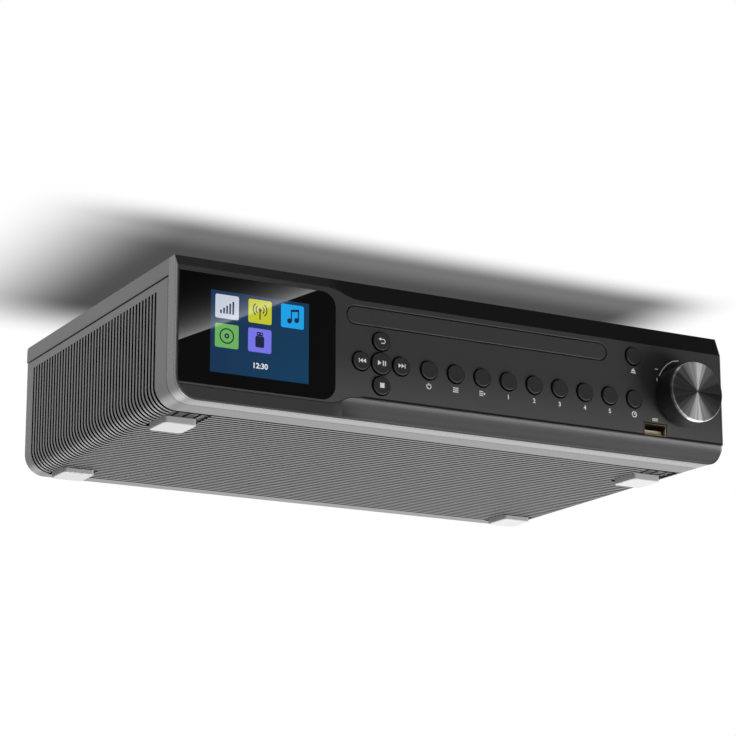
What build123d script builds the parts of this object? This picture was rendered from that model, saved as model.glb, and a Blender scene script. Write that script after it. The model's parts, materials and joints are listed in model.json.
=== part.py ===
"""Under-cabinet disc radio, built as the separate pieces that it comes apart into.

Frame while modelling: X runs to the right as seen from the front, Y from the front face to the back,
Z up. X is zero on the casing's middle, Y on the front face and Z on the casing's underside. Every
piece is moved as it is written, so that the origin is the centre of the four mounting inserts, on
the flat top that goes against the cabinet.
"""

import os
from math import acos, asin, ceil, cos, pi, radians, sin, sqrt, tan

from build123d import *

# The front, from its left end to its right end
window_width = 79.0
window_to_door = 6.2
door_reach = 4.5
door_to_eject = 15.8
eject_to_knob = 27.2
knob_to_edge = 25.8
window_to_cross = 23.7
cross_to_row = 25.4
screen_from_left = 40.8
socket_from_right = 40.7

# The front, from its lower edge to its upper edge
strip_height_left = 6.3
strip_rise = 4.2
strip_to_window = 1.3
window_height = 50.7
window_to_lip = 2.4
lip_rise = 5.3
lip_drop = 4.0
lip_to_door = 7.1
door_to_row = 21.6
row_to_knob = 3.8
strip_to_socket = 3.6
screen_drop = 0.45

# Casing
wall = 2.5
corner_radius = 10.5
seam_drop = 7.8
seam_gap = 0.6
rear_round = 1.5
rear_room = 11.0
seat_gap = 0.1

# Ribbed sides and underside
groove_pitch = 3.62
groove_width = 1.9
groove_depth = 1.3
first_groove_y = 24.0
last_groove_room = 10.5
groove_top_gap = 4.5

# Front bezel and control panel
bezel_depth = 10.0
bezel_flare = 0.25
bezel_side = 0.35
panel_gap = 0.3
panel_thickness = 2.5
step_lead = 4.0
step_run = 16.0
lip_setback = 3.5
cove_depth = 1.1
cove_low = 0.9
cove_lead = 7.5
mouth = 0.3

# Display
window_radius = 7.0
window_thickness = 1.6
screen_width = 49.0
screen_height = 37.6
screen_border = 2.4
screen_glass = 1.4
screen_frame = 3.0
part_gap = 0.3
ear_length = 4.0
ear_height = 10.0

# Buttons
button_diameter = 8.5
play_diameter = 10.0
button_gap = 0.45
button_proud = 1.2
button_edge = 0.4
cross_arm = 10.5
flange_extra = 0.4
flange_thickness = 1.0
stem_side = 3.0
stem_end_y = 6.0
switch_side = 6.0
switch_front_y = 5.4
board_front_y = 8.0
board_thickness = 1.6
board_margin = 5.0
board_boss_rise = 11.5
board_boss_radius = 2.0

# Knob and encoder
knob_diameter = 30.0
knob_front_y = -15.2
knob_gap = 1.2
knob_wall = 2.0
cap_thickness = 1.8
cap_edge = 0.4
shaft_diameter = 6.0
running_gap = 0.06
bushing_wall = 0.9
encoder_side = 12.0
encoder_front_y = 3.0
rotor_radius = 4.6
rotor_thickness = 1.6

# Memory-stick socket
socket_width = 13.1
socket_height = 5.7
socket_depth = 14.0
socket_wall = 0.35
socket_gap = 0.5
tongue_width = 11.0
tongue_thickness = 1.84
tongue_length = 9.0
socket_board_width = 24.0
socket_board_length = 26.0

# Disc tray
disc_diameter = 120.0
small_disc_diameter = 80.0
disc_thickness = 1.2
well_gap = 0.75
well_floor = 2.0
small_well_drop = 1.0
tray_rim = 6.25
tray_tail = 32.25
tray_height = 6.0
door_height = 8.2
door_gap = 0.4
door_thickness = 3.0
hub_window_radius = 18.0
hub_window_reach = 58.0
slide_gap = 0.3

# Rack and loading drive
gear_module = 1.0
pinion_teeth = 16
rack_height = 2.8
backlash = 0.25
pressure_angle = 20.0
pinion_y = 26.0
pinion_bore = 1.5
pulley_radius = 11.0
pulley_thickness = 3.0
belt_size = 1.4
motor_pulley_radius = 4.0
motor_shaft_radius = 0.75
loader_motor_y = 62.0
loader_motor_diameter = 21.0
loader_motor_length = 18.0

# Loader frame
frame_front_y = 14.0
frame_floor = 2.0
frame_wall = 2.0
frame_room = 11.0
ledge_width = 5.0
frame_ear = 7.0
post_radius = 3.5
screw_radius = 1.25
bridge_thickness = 1.6
bridge_width = 30.0
bridge_rise = 2.2

# Traverse with spindle and pickup, shown lowered below the tray
traverse_reach = 80.0
traverse_angle = 6.0
traverse_width = 58.0
traverse_thickness = 1.6
traverse_gap = 1.0
hub_radius = 14.0
hub_nose_radius = 7.3
hub_nose_height = 2.2
hub_disc_thickness = 2.0
spindle_motor_radius = 12.5
spindle_motor_height = 5.5
rod_radius = 1.5
rod_spacing = 42.0
sled_travel = 30.0
sled_length = 22.0
lens_radius = 3.5
lens_reach = 2.0
screw_shaft_radius = 1.5
sled_motor_radius = 4.0
sled_motor_length = 12.0
clamp_radius = 15.0
clamp_gap = 0.4

# Speakers behind the underside
speaker_from_side = 40.0
speaker_y = 92.0
speaker_size = 57.0
speaker_depth = 24.0
speaker_flange = 1.5
magnet_radius = 17.0
magnet_height = 9.0
cone_wall = 0.6

# Feet
foot_width = 16.5
foot_length = 18.0
foot_proud = 2.2
foot_from_side = 19.5
front_foot_y = 46.5
rear_foot_room = 18.0
foot_gap = 0.6
foot_plate_margin = 1.5
foot_plate_reach = 12.5
foot_plate_sink = 0.8
foot_slot_count = 3
foot_slot_width = 1.4

# Boards and rear sockets
main_board_z = 9.0
main_board_width = 120.0
main_board_length = 48.0
main_board_room = 55.0
chip_size = 14.0
tuner_width = 24.0
tuner_length = 26.0
sink_width = 20.0
sink_height = 12.0
fin_count = 5
fin_thickness = 2.0
dc_jack_from_left = 52.5
audio_jack_from_left = 76.5
jack_z = 15.0
jack_plug_radius = 1.8
jack_length = 12.0
dc_barrel_radius = 3.2
dc_pin_radius = 1.0
dc_length = 11.0

# Mounting in the cabinet, four brass inserts in the top, and the screws that close the casing
insert_from_side = 28.5
insert_from_front = 33.0
insert_from_rear = 24.0
insert_radius = 3.5
insert_bore = 2.1
insert_length = 9.0
boss_radius = 6.0
cover_screw_from_side = 14.5
cover_screw_from_front = 30.0
cover_screw_from_rear = 15.0
screw_boss_radius = 3.5
screw_head_radius = 2.8
screw_head_height = 1.8

# Widths that follow from the disc and from the row across the front
well_radius = disc_diameter / 2 + well_gap
tray_width = 2 * (well_radius + tray_rim)
tray_length = tray_rim + 2 * well_radius + tray_tail
tray_travel = tray_rim + 2 * well_radius
door_width = tray_width + 2 * door_reach
casing_width = window_width + window_to_door + door_width + door_to_eject + eject_to_knob + knob_to_edge
left_end = -casing_width / 2
right_end = casing_width / 2
window_right_x = left_end + window_width
tray_x = window_right_x + window_to_door + door_width / 2
eject_x = tray_x + door_width / 2 + door_to_eject
knob_x = eject_x + eject_to_knob
cross_x = window_right_x + window_to_cross
row_start_x = cross_x + cross_to_row
screen_x = left_end + screen_from_left
socket_x = right_end - socket_from_right
step_start_x = window_right_x - step_lead
cove_start_x = step_start_x + cove_lead
speaker_x = right_end - speaker_from_side
foot_x = right_end - foot_from_side
dc_jack_x = left_end + dc_jack_from_left
audio_jack_x = left_end + audio_jack_from_left

# Heights
strip_height_right = strip_height_left + strip_rise
window_bottom = strip_height_left + strip_to_window
window_top = window_bottom + window_height
lip_foot_left = window_top + window_to_lip
lip_foot_right = lip_foot_left - lip_drop
casing_height = lip_foot_left + lip_rise
seam_height = casing_height - seam_drop
groove_top = seam_height - groove_top_gap
door_z = lip_foot_right - lip_to_door
row_z = door_z - door_to_row
knob_z = row_z + row_to_knob
socket_z = strip_height_right + strip_to_socket
screen_z = window_bottom + window_height / 2 - screen_drop

# Depths
disc_centre_y = door_thickness + tray_rim + well_radius
frame_back_y = door_thickness + tray_length + frame_room + frame_wall
casing_depth = frame_back_y + rear_room
groove_count = int((casing_depth - last_groove_room - first_groove_y) / groove_pitch) + 1
traverse_pivot_y = disc_centre_y + traverse_reach
rear_foot_y = casing_depth - rear_foot_room
main_board_y = casing_depth - main_board_room
mount_centre_y = (insert_from_front + casing_depth - insert_from_rear) / 2


def prism(outline, y_front, y_back):
    """A solid with this outline, X across and Z up, from y_front to y_back."""
    return extrude(Plane.XZ.offset(-y_back) * outline, y_back - y_front)


def block(x0, x1, y0, y1, z0, z1):
    """A box between these faces."""
    return Pos((x0 + x1) / 2, (y0 + y1) / 2, (z0 + z1) / 2) * Box(x1 - x0, y1 - y0, z1 - z0)


def post(x, y, z0, z1, radius):
    """An upright cylinder from z0 to z1."""
    return Pos(x, y, (z0 + z1) / 2) * Cylinder(radius, z1 - z0)


def pin_y(x, z, y0, y1, radius):
    """A cylinder along Y from y0 to y1."""
    return Pos(x, (y0 + y1) / 2, z) * Rot(90, 0, 0) * Cylinder(radius, y1 - y0)


def u_outline(half_width, floor, top, radius):
    """An upright rectangle whose two lower corners are round."""
    height = top - floor
    shape = Pos(0, floor + height / 2) * Rectangle(2 * half_width, height)
    return fillet(shape.vertices().group_by(Axis.Y)[0], radius)


def casing_outline(inset, top):
    return u_outline(casing_width / 2 - inset, inset, top, corner_radius - inset)


def groove_y(i):
    return first_groove_y + i * groove_pitch


# Foot places, as (name, x, y)
feet = [
    ("foot_front_left", -foot_x, front_foot_y),
    ("foot_front_right", foot_x, front_foot_y),
    ("foot_rear_left", -foot_x, rear_foot_y),
    ("foot_rear_right", foot_x, rear_foot_y),
]

# Levels of the tray and the loader, upwards from the underside
tray_bottom = door_z - tray_height / 2
tray_top = tray_bottom + tray_height
ledge_top = tray_bottom - slide_gap
frame_bottom = ledge_top - frame_floor
frame_half = tray_width / 2 + 2 * slide_gap
frame_outer = frame_half + frame_wall
bridge_bottom = tray_top + bridge_rise
clamp_bottom = tray_top + clamp_gap
well_end_y = traverse_pivot_y + 16.0
post_x = frame_outer + frame_ear / 2

# The rack's pitch line and the pinion beside the tray's left edge
tray_left = tray_x - tray_width / 2
belt_end_y = loader_motor_y + loader_motor_diameter / 2
loader_posts = [
    (-1, belt_end_y + 14.0),
    (-1, frame_back_y - 12.0),
    (1, frame_front_y + 20.0),
    (1, frame_back_y - 12.0),
]
pitch_radius = gear_module * pinion_teeth / 2
rack_pitch_x = tray_left + gear_module
pinion_x = rack_pitch_x - pitch_radius
tooth_pitch = pi * gear_module
rack_teeth = ceil(tray_travel / tooth_pitch) + 5
cover_screws = [
    (sx * (right_end - cover_screw_from_side), y)
    for sx in (-1, 1)
    for y in (cover_screw_from_front, casing_depth - cover_screw_from_rear)
]
inserts = [
    (sx * (right_end - insert_from_side), y)
    for sx in (-1, 1)
    for y in (insert_from_front, casing_depth - insert_from_rear)
]


def lower_shell():
    """Ribbed tub: both sides, the underside and the back, with the posts that carry the inside."""
    outer = prism(casing_outline(0, seam_height - seam_gap), bezel_depth, casing_depth)
    rear_edges = outer.faces().sort_by(Axis.Y)[-1].edges().filter_by(lambda e: e.center().Z < seam_height - 3)
    outer = fillet(rear_edges, rear_round)
    hollow = prism(casing_outline(wall, seam_height + 1), bezel_depth - 1, casing_depth - wall)
    shell = outer - hollow

    band = casing_outline(-1, groove_top) - casing_outline(groove_depth, groove_top + 1)
    ring = prism(band, -groove_width / 2, groove_width / 2)
    vent = block(
        -casing_width, casing_width, -groove_width / 2, groove_width / 2, corner_radius, groove_top
    )
    cutters = []
    for i in range(groove_count):
        cutters += [Pos(0, groove_y(i), 0) * ring, Pos(0, groove_y(i), 0) * vent]
        for side in (-1, 1):
            reach = speaker_size / 2 - 3
            off = groove_y(i) - speaker_y
            if abs(off) < reach - 4:
                chord = sqrt(reach**2 - off**2)
                slot = block(-chord, chord, -groove_width / 2, groove_width / 2, -1, wall + 1)
                cutters.append(Pos(side * speaker_x, groove_y(i), 0) * slot)
    shell -= cutters

    half = foot_width / 2 + foot_plate_margin
    for name, x, y in feet:
        front = y - foot_length / 2
        plate_front = front - (foot_plate_reach if "front" in name else foot_gap)
        plate_back = y + foot_length / 2 + foot_gap
        shell += block(x - half, x + half, plate_front, plate_back, foot_plate_sink, wall)
        shell -= block(x - half, x + half, plate_front, plate_back, -1, foot_plate_sink)
        pocket_x = foot_width / 2 + foot_gap / 2
        shell -= block(x - pocket_x, x + pocket_x, front - foot_gap, plate_back, -1, groove_depth)
        if "front" in name:
            for k in range(foot_slot_count):
                sx = x + (k - 1) * foot_width / foot_slot_count
                side = foot_slot_width / 2
                shell -= block(sx - side, sx + side, plate_front + 1.5, front - 1.5, -1, wall + 1)

    for sx, y in loader_posts:
        shell += post(tray_x + sx * post_x, y, wall - 0.5, frame_bottom, post_radius)
        shell -= post(tray_x + sx * post_x, y, frame_bottom - 8, frame_bottom + 1, screw_radius)
    for sx in (-1, 1):
        for y in (main_board_y - 20, main_board_y + 20):
            shell += post(sx * (main_board_width / 2 - 5), y, wall - 0.5, main_board_z, 3.0)
    for x, y in cover_screws:
        edge = (right_end - wall + 0.5) * (1 if x > 0 else -1)
        boss = post(x, y, wall - 0.5, seam_height - 2, screw_boss_radius)
        rib = block(min(x, edge), max(x, edge), y - 1, y + 1, corner_radius, seam_height - 2)
        shell += boss + rib
        shell -= post(x, y, seam_height - 12, seam_height, screw_radius)
    shell -= pin_y(dc_jack_x, jack_z, casing_depth - wall - 1, casing_depth + 1, dc_barrel_radius + 1.3)
    shell -= pin_y(audio_jack_x, jack_z, casing_depth - wall - 1, casing_depth + 1, jack_plug_radius + 1.4)
    return shell


def top_cover():
    """Flat lid with a rim down to the seam, and the bosses that hold the mounting inserts."""
    outline = Pos(0, (seam_height + casing_height) / 2) * Rectangle(casing_width, casing_height - seam_height)
    lid = prism(outline, bezel_depth + seat_gap, casing_depth)
    lid = fillet(lid.edges().filter_by(Axis.X).sort_by(lambda e: (e.center().Y, e.center().Z))[-1], 2.0)
    inner = block(
        -casing_width / 2 + wall, casing_width / 2 - wall, bezel_depth - 1, casing_depth - wall,
        seam_height - 1, casing_height - wall,
    )
    lid -= inner
    for x, y in inserts:
        lid += post(x, y, casing_height - insert_length - 1.5, casing_height - wall + 0.5, boss_radius)
        lid -= post(x, y, casing_height - insert_length, casing_height + 1, insert_radius)
    for x, y in cover_screws:
        lid += post(x, y, seam_height - 2 + seat_gap, casing_height - wall + 0.5, screw_boss_radius)
        lid -= post(x, y, seam_height - 4, casing_height + 1, screw_radius + 0.25)
        lid -= post(x, y, casing_height - screw_head_height - 0.4, casing_height + 1, screw_head_radius + 0.3)
    return lid


def lip_section(x, foot):
    """The wedge cut away above the front's upper edge, at this x."""
    grow = (casing_height - foot) / lip_setback
    over = 4.0
    points = [
        (-over, foot - over * grow),
        (lip_setback + over, casing_height + over * grow),
        (-over, casing_height + over * grow),
    ]
    return Plane(origin=(x, 0, 0), x_dir=(0, 1, 0), z_dir=(1, 0, 0)) * make_face(Polyline(*points, close=True))


def step_share(t):
    """Goes from 0 to 1 along the step with level ends."""
    return t * t * (3 - 2 * t)


def lip_cutter():
    """The sloping lip along the top of the front, taller to the right of the display."""
    ends = casing_width / 2 + 5
    x0, x1 = step_start_x, step_start_x + step_run
    left = extrude(lip_section(-ends, lip_foot_left), x0 + ends)
    right = extrude(lip_section(x1, lip_foot_right), ends - x1)
    sections = []
    for k in range(5):
        t = k / 4
        foot = lip_foot_left + (lip_foot_right - lip_foot_left) * step_share(t)
        sections.append(lip_section(x0 + step_run * t, foot))
    return [left, right, loft(sections)]


def step_edge(offset):
    """The lower edge of the control panel in X and Z: level, a step up beside the display, level."""
    reach = casing_width / 2 + 5
    x0, x1 = step_start_x, step_start_x + step_run
    z0, z1 = strip_height_left + offset, strip_height_right + offset
    middle = ((x0 + x1) / 2, (z0 + z1) / 2)
    first = Line((-reach, z0), (x0, z0))
    rise = TangentArc((x0, z0), middle, tangent=(1, 0))
    settle = TangentArc((x1, z1), middle, tangent=(-1, 0))
    last = Line((x1, z1), (reach, z1))
    top = casing_height + 20
    return make_face([first, rise, settle, last, Line((reach, z1), (reach, top)),
                      Line((reach, top), (-reach, top)), Line((-reach, top), (-reach, z0))])


def front_outline(inset, top):
    """The casing's outline where it is flared to the front, drawn in by inset."""
    grow = bezel_flare - inset
    return u_outline(casing_width / 2 + grow, -grow, top, corner_radius + grow)


def front_bezel():
    """Band round the sides and underside of the front, with the strip below the control panel."""
    back = Plane.XZ.offset(-bezel_depth) * casing_outline(0, casing_height)
    front = Plane.XZ * front_outline(0, casing_height)
    band = loft([back, front])
    band -= prism(casing_outline(wall, casing_height + 9), panel_thickness, bezel_depth + 1)
    band -= prism(front_outline(bezel_side + bezel_flare, casing_height + 9) & step_edge(0), -2, bezel_depth + 1)
    band -= lip_cutter()
    reach = casing_width / 2 + 5
    z1 = strip_height_right + 3
    top, low = strip_height_right, cove_low
    cove = make_face([
        Line((-2, z1), (0, top)),
        ThreePointArc((0, top), (cove_depth, (top + low) / 2), (0, low)),
        Line((0, low), (-2, low)),
        Line((-2, low), (-2, z1)),
    ])
    plane = Plane(origin=(cove_start_x, 0, 0), x_dir=(0, 1, 0), z_dir=(1, 0, 0))
    cut = extrude(plane * cove, reach - cove_start_x)
    blend = Pos(cove_start_x, 0, 0) * Rot(0, 0, 9) * block(-reach, 0, -30, 30, -9, 40)
    return band - (cut - blend)


def panel_outline():
    return front_outline(bezel_side + bezel_flare + panel_gap, casing_height) & step_edge(panel_gap)


def window_outline(gap):
    """The display window: square to the panel's left end, round at its right corners."""
    left = left_end + bezel_side + 2 * panel_gap - gap
    right = window_right_x + gap
    low, high = window_bottom - gap, window_top + gap
    plate = Pos((left + right) / 2, (low + high) / 2) * Rectangle(right - left, high - low)
    plate = fillet(plate.vertices().group_by(Axis.X)[-1], window_radius + gap)
    return plate & front_outline(bezel_side + bezel_flare + 2 * panel_gap - gap, casing_height + 9)


def stadium(width, height):
    return SlotOverall(width, height)


# Buttons, as (name, x, z, diameter)
buttons = [
    ("button_play_pause", cross_x, row_z, play_diameter),
    ("button_return", cross_x, row_z + cross_arm, button_diameter),
    ("button_stop", cross_x, row_z - cross_arm, button_diameter),
    ("button_previous", cross_x - cross_arm, row_z, button_diameter),
    ("button_next", cross_x + cross_arm, row_z, button_diameter),
]
row_names = ["mode", "menu", "program", "preset_1", "preset_2", "preset_3", "preset_4", "preset_5", "timer"]
row_pitch = (eject_x - row_start_x) / (len(row_names) - 1)
buttons += [
    (f"button_{name}", row_start_x + i * row_pitch, row_z, button_diameter) for i, name in enumerate(row_names)
]
buttons.append(("button_eject", eject_x, door_z, button_diameter))
board_boss_xs = [row_start_x + (k - 0.5) * row_pitch for k in (0, 4, len(row_names) - 1)]


def key_mouth(x, z, radius):
    """The bevel round the mouth of a key's hole."""
    return Pos(x, (mouth - 0.1) / 2, z) * Rot(90, 0, 0) * Cone(radius, radius + mouth + 0.1, mouth + 0.1)


def door_mouth(outline):
    """The bevel round the mouth of the slot for the tray's door."""
    return extrude(Plane.XZ.offset(-mouth) * outline, mouth + 0.1, taper=-45)


def control_panel():
    """Front plate with its sloping lip, the rebate for the window and a hole for each control."""
    panel = prism(panel_outline(), 0, bezel_depth)
    inner_half = casing_width / 2 - bezel_side - panel_gap - wall
    section = make_face(Polyline(
        (panel_thickness, -5), (panel_thickness, lip_foot_right - 0.8),
        (lip_setback + panel_thickness, casing_height - wall),
        (bezel_depth + 1, casing_height - wall), (bezel_depth + 1, -5), close=True))
    plane = Plane(origin=(-inner_half, 0, 0), x_dir=(0, 1, 0), z_dir=(1, 0, 0))
    panel -= extrude(plane * section, 2 * inner_half)
    panel -= lip_cutter()
    for x in board_boss_xs:
        for z in (row_z - board_boss_rise, row_z + board_boss_rise):
            panel += pin_y(x, z, panel_thickness - 0.5, board_front_y, board_boss_radius)
    panel -= prism(window_outline(seat_gap), -1, window_thickness)
    panel -= block(
        screen_x - screen_width / 2 - screen_border, screen_x + screen_width / 2 + screen_border, -1, 9,
        screen_z - screen_height / 2 - screen_border, screen_z + screen_height / 2 + screen_border,
    )
    slot = Pos(tray_x, door_z) * stadium(door_width + 2 * door_gap, door_height + 2 * door_gap)
    panel -= prism(slot, -1, 9)
    panel -= door_mouth(slot)
    for name, x, z, diameter in buttons:
        panel -= pin_y(x, z, -1, 9, diameter / 2 + button_gap)
        panel -= key_mouth(x, z, diameter / 2 + button_gap)
    panel -= pin_y(knob_x, knob_z, -1, 9, shaft_diameter / 2 + bushing_wall + 2 * running_gap + 0.1)
    half_w, half_h = socket_width / 2 + socket_gap, socket_height / 2 + socket_gap
    panel -= block(socket_x - half_w, socket_x + half_w, -1, 9, socket_z - half_h, socket_z + half_h)
    return panel


def display_window():
    return prism(window_outline(0), 0, window_thickness - seat_gap)


def lcd_glass():
    half_w = screen_width / 2 + screen_border - part_gap
    half_h = screen_height / 2 + screen_border - part_gap
    y0 = window_thickness + seat_gap
    return block(screen_x - half_w, screen_x + half_w, y0, y0 + screen_glass, screen_z - half_h, screen_z + half_h)


def lcd_frame():
    """Backlight tray behind the glass, screwed to the panel's back by two ears."""
    y0 = window_thickness + seat_gap + screen_glass
    half_w = screen_width / 2 + screen_border - part_gap
    half_h = screen_height / 2 + screen_border - part_gap
    tray = block(screen_x - half_w, screen_x + half_w, y0, y0 + screen_frame, screen_z - half_h, screen_z + half_h)
    for side in (-1, 1):
        edge = screen_x + side * half_w
        tip = edge + side * ear_length
        tray += block(min(edge, tip), max(edge, tip), y0, y0 + 1, screen_z - ear_height / 2, screen_z + ear_height / 2)
    return tray


def button(x, z, diameter):
    """Key cap with a bevelled edge, a square flange behind the panel and a stem into its switch."""
    cap = pin_y(x, z, -button_proud, panel_thickness + seat_gap, diameter / 2)
    cap = chamfer(cap.edges().sort_by(Axis.Y)[0], button_edge)
    half = diameter / 2 + flange_extra
    y1 = panel_thickness + seat_gap
    flange = block(x - half, x + half, y1, y1 + flange_thickness, z - half, z + half)
    side = stem_side / 2
    return cap + flange + block(x - side, x + side, y1, stem_end_y, z - side, z + side)


def button_switches():
    """One push switch behind each key, with a well that its key's stem goes down."""
    made = []
    half, well = switch_side / 2, stem_side / 2 + 0.3
    for name, x, z, diameter in buttons:
        case = block(x - half, x + half, switch_front_y, board_front_y, z - half, z + half)
        made.append(case - block(x - well, x + well, 0, board_front_y - 0.7, z - well, z + well))
    return made


def button_board():
    """Circuit board that carries the switches and the encoder, cut clear of the tray and the socket."""
    low, high = row_z - cross_arm - board_margin, row_z + cross_arm + board_margin
    left, right = cross_x - cross_arm - board_margin, knob_x + encoder_side / 2 + board_margin
    step_x, step_z = socket_x - socket_width / 2 - 2, socket_z + socket_height / 2 + 2
    eject_left, eject_right = tray_x + door_width / 2 + 3, eject_x + switch_side / 2 + board_margin
    eject_top = door_z + switch_side / 2 + 2
    outline = make_face(Polyline(
        (left, low), (step_x, low), (step_x, step_z), (right, step_z), (right, high), (eject_right, high),
        (eject_right, eject_top), (eject_left, eject_top), (eject_left, high), (left, high), close=True))
    return prism(outline, board_front_y, board_front_y + board_thickness)


def knob_skirt():
    skirt = pin_y(knob_x, knob_z, knob_front_y + cap_thickness, -knob_gap, knob_diameter / 2)
    skirt = chamfer(skirt.edges().sort_by(Axis.Y)[-1], 0.5)
    web_y = knob_front_y + cap_thickness + 3
    skirt -= pin_y(knob_x, knob_z, web_y, 0, knob_diameter / 2 - knob_wall)
    skirt += pin_y(knob_x, knob_z, web_y - 0.5, -knob_gap - 1.5, shaft_diameter / 2 + 2)
    return skirt - pin_y(knob_x, knob_z, web_y - 1, 0, shaft_diameter / 2)


def knob_cap():
    """Turned metal face with a cut bright edge."""
    cap = pin_y(knob_x, knob_z, knob_front_y, knob_front_y + cap_thickness, knob_diameter / 2 + 0.1)
    return chamfer(cap.edges().sort_by(Axis.Y)[0], cap_edge)


shaft_end_y = encoder_front_y + 3.4


def shaft_flat(y0, y1, gap):
    """What a flat on the shaft leaves out, from y0 to y1."""
    r = shaft_diameter / 2
    return block(knob_x - r - 1, knob_x + r + 1, y0, y1, knob_z + r * 0.6 + gap, knob_z + r + 2)


def encoder_shaft():
    front = knob_front_y + cap_thickness + 2
    shaft = pin_y(knob_x, knob_z, front, shaft_end_y, shaft_diameter / 2)
    return shaft - shaft_flat(encoder_front_y, shaft_end_y + 1, 0)


def encoder_rotor():
    """Contact ring that turns with the shaft while the shaft slides through it."""
    y0 = encoder_front_y + 0.9
    ring = pin_y(knob_x, knob_z, y0, y0 + rotor_thickness, rotor_radius)
    bore = pin_y(knob_x, knob_z, 0, 9, shaft_diameter / 2 + running_gap)
    return ring - (bore - shaft_flat(0, 9, running_gap))


def encoder_body():
    half = encoder_side / 2
    body = block(knob_x - half, knob_x + half, encoder_front_y, board_front_y, knob_z - half, knob_z + half)
    body += pin_y(knob_x, knob_z, -0.9, encoder_front_y + 0.5, shaft_diameter / 2 + bushing_wall)
    body -= pin_y(knob_x, knob_z, -2, encoder_front_y + 1, shaft_diameter / 2 + running_gap)
    y0 = encoder_front_y + 0.7
    body -= pin_y(knob_x, knob_z, y0, y0 + rotor_thickness + 0.4, rotor_radius + 0.3)
    return body - pin_y(knob_x, knob_z, y0, board_front_y - 0.6, shaft_diameter / 2 + 0.3)


def usb_shell():
    w, h = socket_width / 2, socket_height / 2
    shell = block(socket_x - w, socket_x + w, 0.3, socket_depth, socket_z - h, socket_z + h)
    w, h = w - socket_wall, h - socket_wall
    return shell - block(socket_x - w, socket_x + w, 0, socket_depth - 2, socket_z - h, socket_z + h)


def usb_tongue():
    low = socket_z - socket_height / 2 + 1.1
    y1 = socket_depth - 2
    half = tongue_width / 2
    return block(socket_x - half, socket_x + half, y1 - tongue_length, y1, low, low + tongue_thickness)


def tray_front():
    """Round-ended door on the front of the tray, flush with the control panel."""
    door = prism(Pos(tray_x, door_z) * stadium(door_width, door_height), 0, door_thickness)
    return chamfer(door.faces().sort_by(Axis.Y)[0].edges(), 0.35)


def gear_outline(teeth):
    """A spur gear with flanks drawn through a few points of the true involute."""
    r_pitch = gear_module * teeth / 2
    r_base = r_pitch * cos(radians(pressure_angle))
    r_tip, r_root = r_pitch + 0.9 * gear_module, r_pitch - 1.2 * gear_module
    half_tooth = (tooth_pitch / 2 - backlash) / 2 / r_pitch
    inv = tan(radians(pressure_angle)) - radians(pressure_angle)

    def flank(radius):
        if radius <= r_base:
            return half_tooth + inv
        a = acos(r_base / radius)
        return half_tooth + inv - (tan(a) - a)

    radii = [r_root, r_base, (r_base + r_pitch) / 2, r_pitch, (r_pitch + r_tip) / 2, r_tip]
    points = []
    for k in range(teeth):
        centre = 2 * pi * k / teeth
        rise = [(r, centre - flank(r)) for r in radii]
        fall = [(r, centre + flank(r)) for r in reversed(radii)]
        points += [(r * cos(a), r * sin(a)) for r, a in rise + fall]
    return make_face(Polyline(*points, close=True))


def rack_outline():
    """Rack teeth that face -X; the tooth beside the pinion is centred on the pinion's axis line."""
    slope = tan(radians(pressure_angle))
    half = (tooth_pitch / 2 - backlash) / 2
    tip_x, root_x = tray_left, rack_pitch_x + 1.25 * gear_module
    half_tip = half - gear_module * slope
    half_root = half + 1.25 * gear_module * slope
    first = pinion_y - 4 * tooth_pitch + tooth_pitch / 2
    back_x = root_x + 1.5
    points = []
    for k in range(rack_teeth):
        y = first + k * tooth_pitch
        points += [(root_x, y - half_root), (tip_x, y - half_tip), (tip_x, y + half_tip), (root_x, y + half_root)]
    points += [(back_x, points[-1][1]), (back_x, points[0][1])]
    return make_face(Polyline(*points, close=True))


def disc_tray():
    """Sliding tray with wells for both disc sizes, a window for the spindle and a rack on its left edge."""
    half = tray_width / 2
    y0 = door_thickness
    tray = block(tray_x - half, tray_x + half, y0, y0 + tray_length, tray_bottom, tray_top)
    tray = fillet(tray.edges().filter_by(Axis.Z).group_by(Axis.Y)[-1], 6.0)
    floor = tray_bottom + well_floor
    small_well_radius = small_disc_diameter / 2 + well_gap
    tray -= post(tray_x, disc_centre_y, floor, tray_top + 1, well_radius)
    tray -= post(tray_x, disc_centre_y, floor - small_well_drop, tray_top, small_well_radius)
    window = Pos(tray_x, disc_centre_y + hub_window_reach / 2, tray_bottom) * extrude(
        Rot(0, 0, 90) * SlotOverall(hub_window_reach + 2 * hub_window_radius, 2 * hub_window_radius), 9, both=True)
    tray -= window
    root_x = rack_pitch_x + 1.25 * gear_module
    rack_top = tray_bottom + rack_height
    tray -= block(tray_left - 1, root_x, y0 + 4, y0 + tray_length + 1, tray_bottom - 1, rack_top + slide_gap)
    rack = Pos(0, 0, tray_bottom) * extrude(rack_outline(), rack_height)
    return tray + rack


pulley_mid_z = tray_bottom - 1.2 - pulley_thickness / 2


def belt_groove(radius):
    """What the belt's groove leaves out of a pulley of this radius."""
    height = belt_size + 0.3
    floor = radius - belt_size / 2 - 0.05
    ring = post(0, 0, pulley_mid_z - height / 2, pulley_mid_z + height / 2, radius + 1)
    return ring - post(0, 0, pulley_mid_z - height, pulley_mid_z + height, floor)


def loading_pinion():
    """Gear that drives the rack, with the belt pulley below it on the same hub."""
    gear = Pos(0, 0, tray_bottom + 0.2) * extrude(gear_outline(pinion_teeth), rack_height - 0.6)
    pulley_top = pulley_mid_z + pulley_thickness / 2
    hub = post(0, 0, pulley_top, tray_bottom + 0.3, 4.5)
    pulley = post(0, 0, pulley_top - pulley_thickness, pulley_top, pulley_radius)
    wheel = gear + hub + pulley - belt_groove(pulley_radius) - post(0, 0, 0, 90, pinion_bore + running_gap)
    return Pos(pinion_x, pinion_y, 0) * wheel


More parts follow.
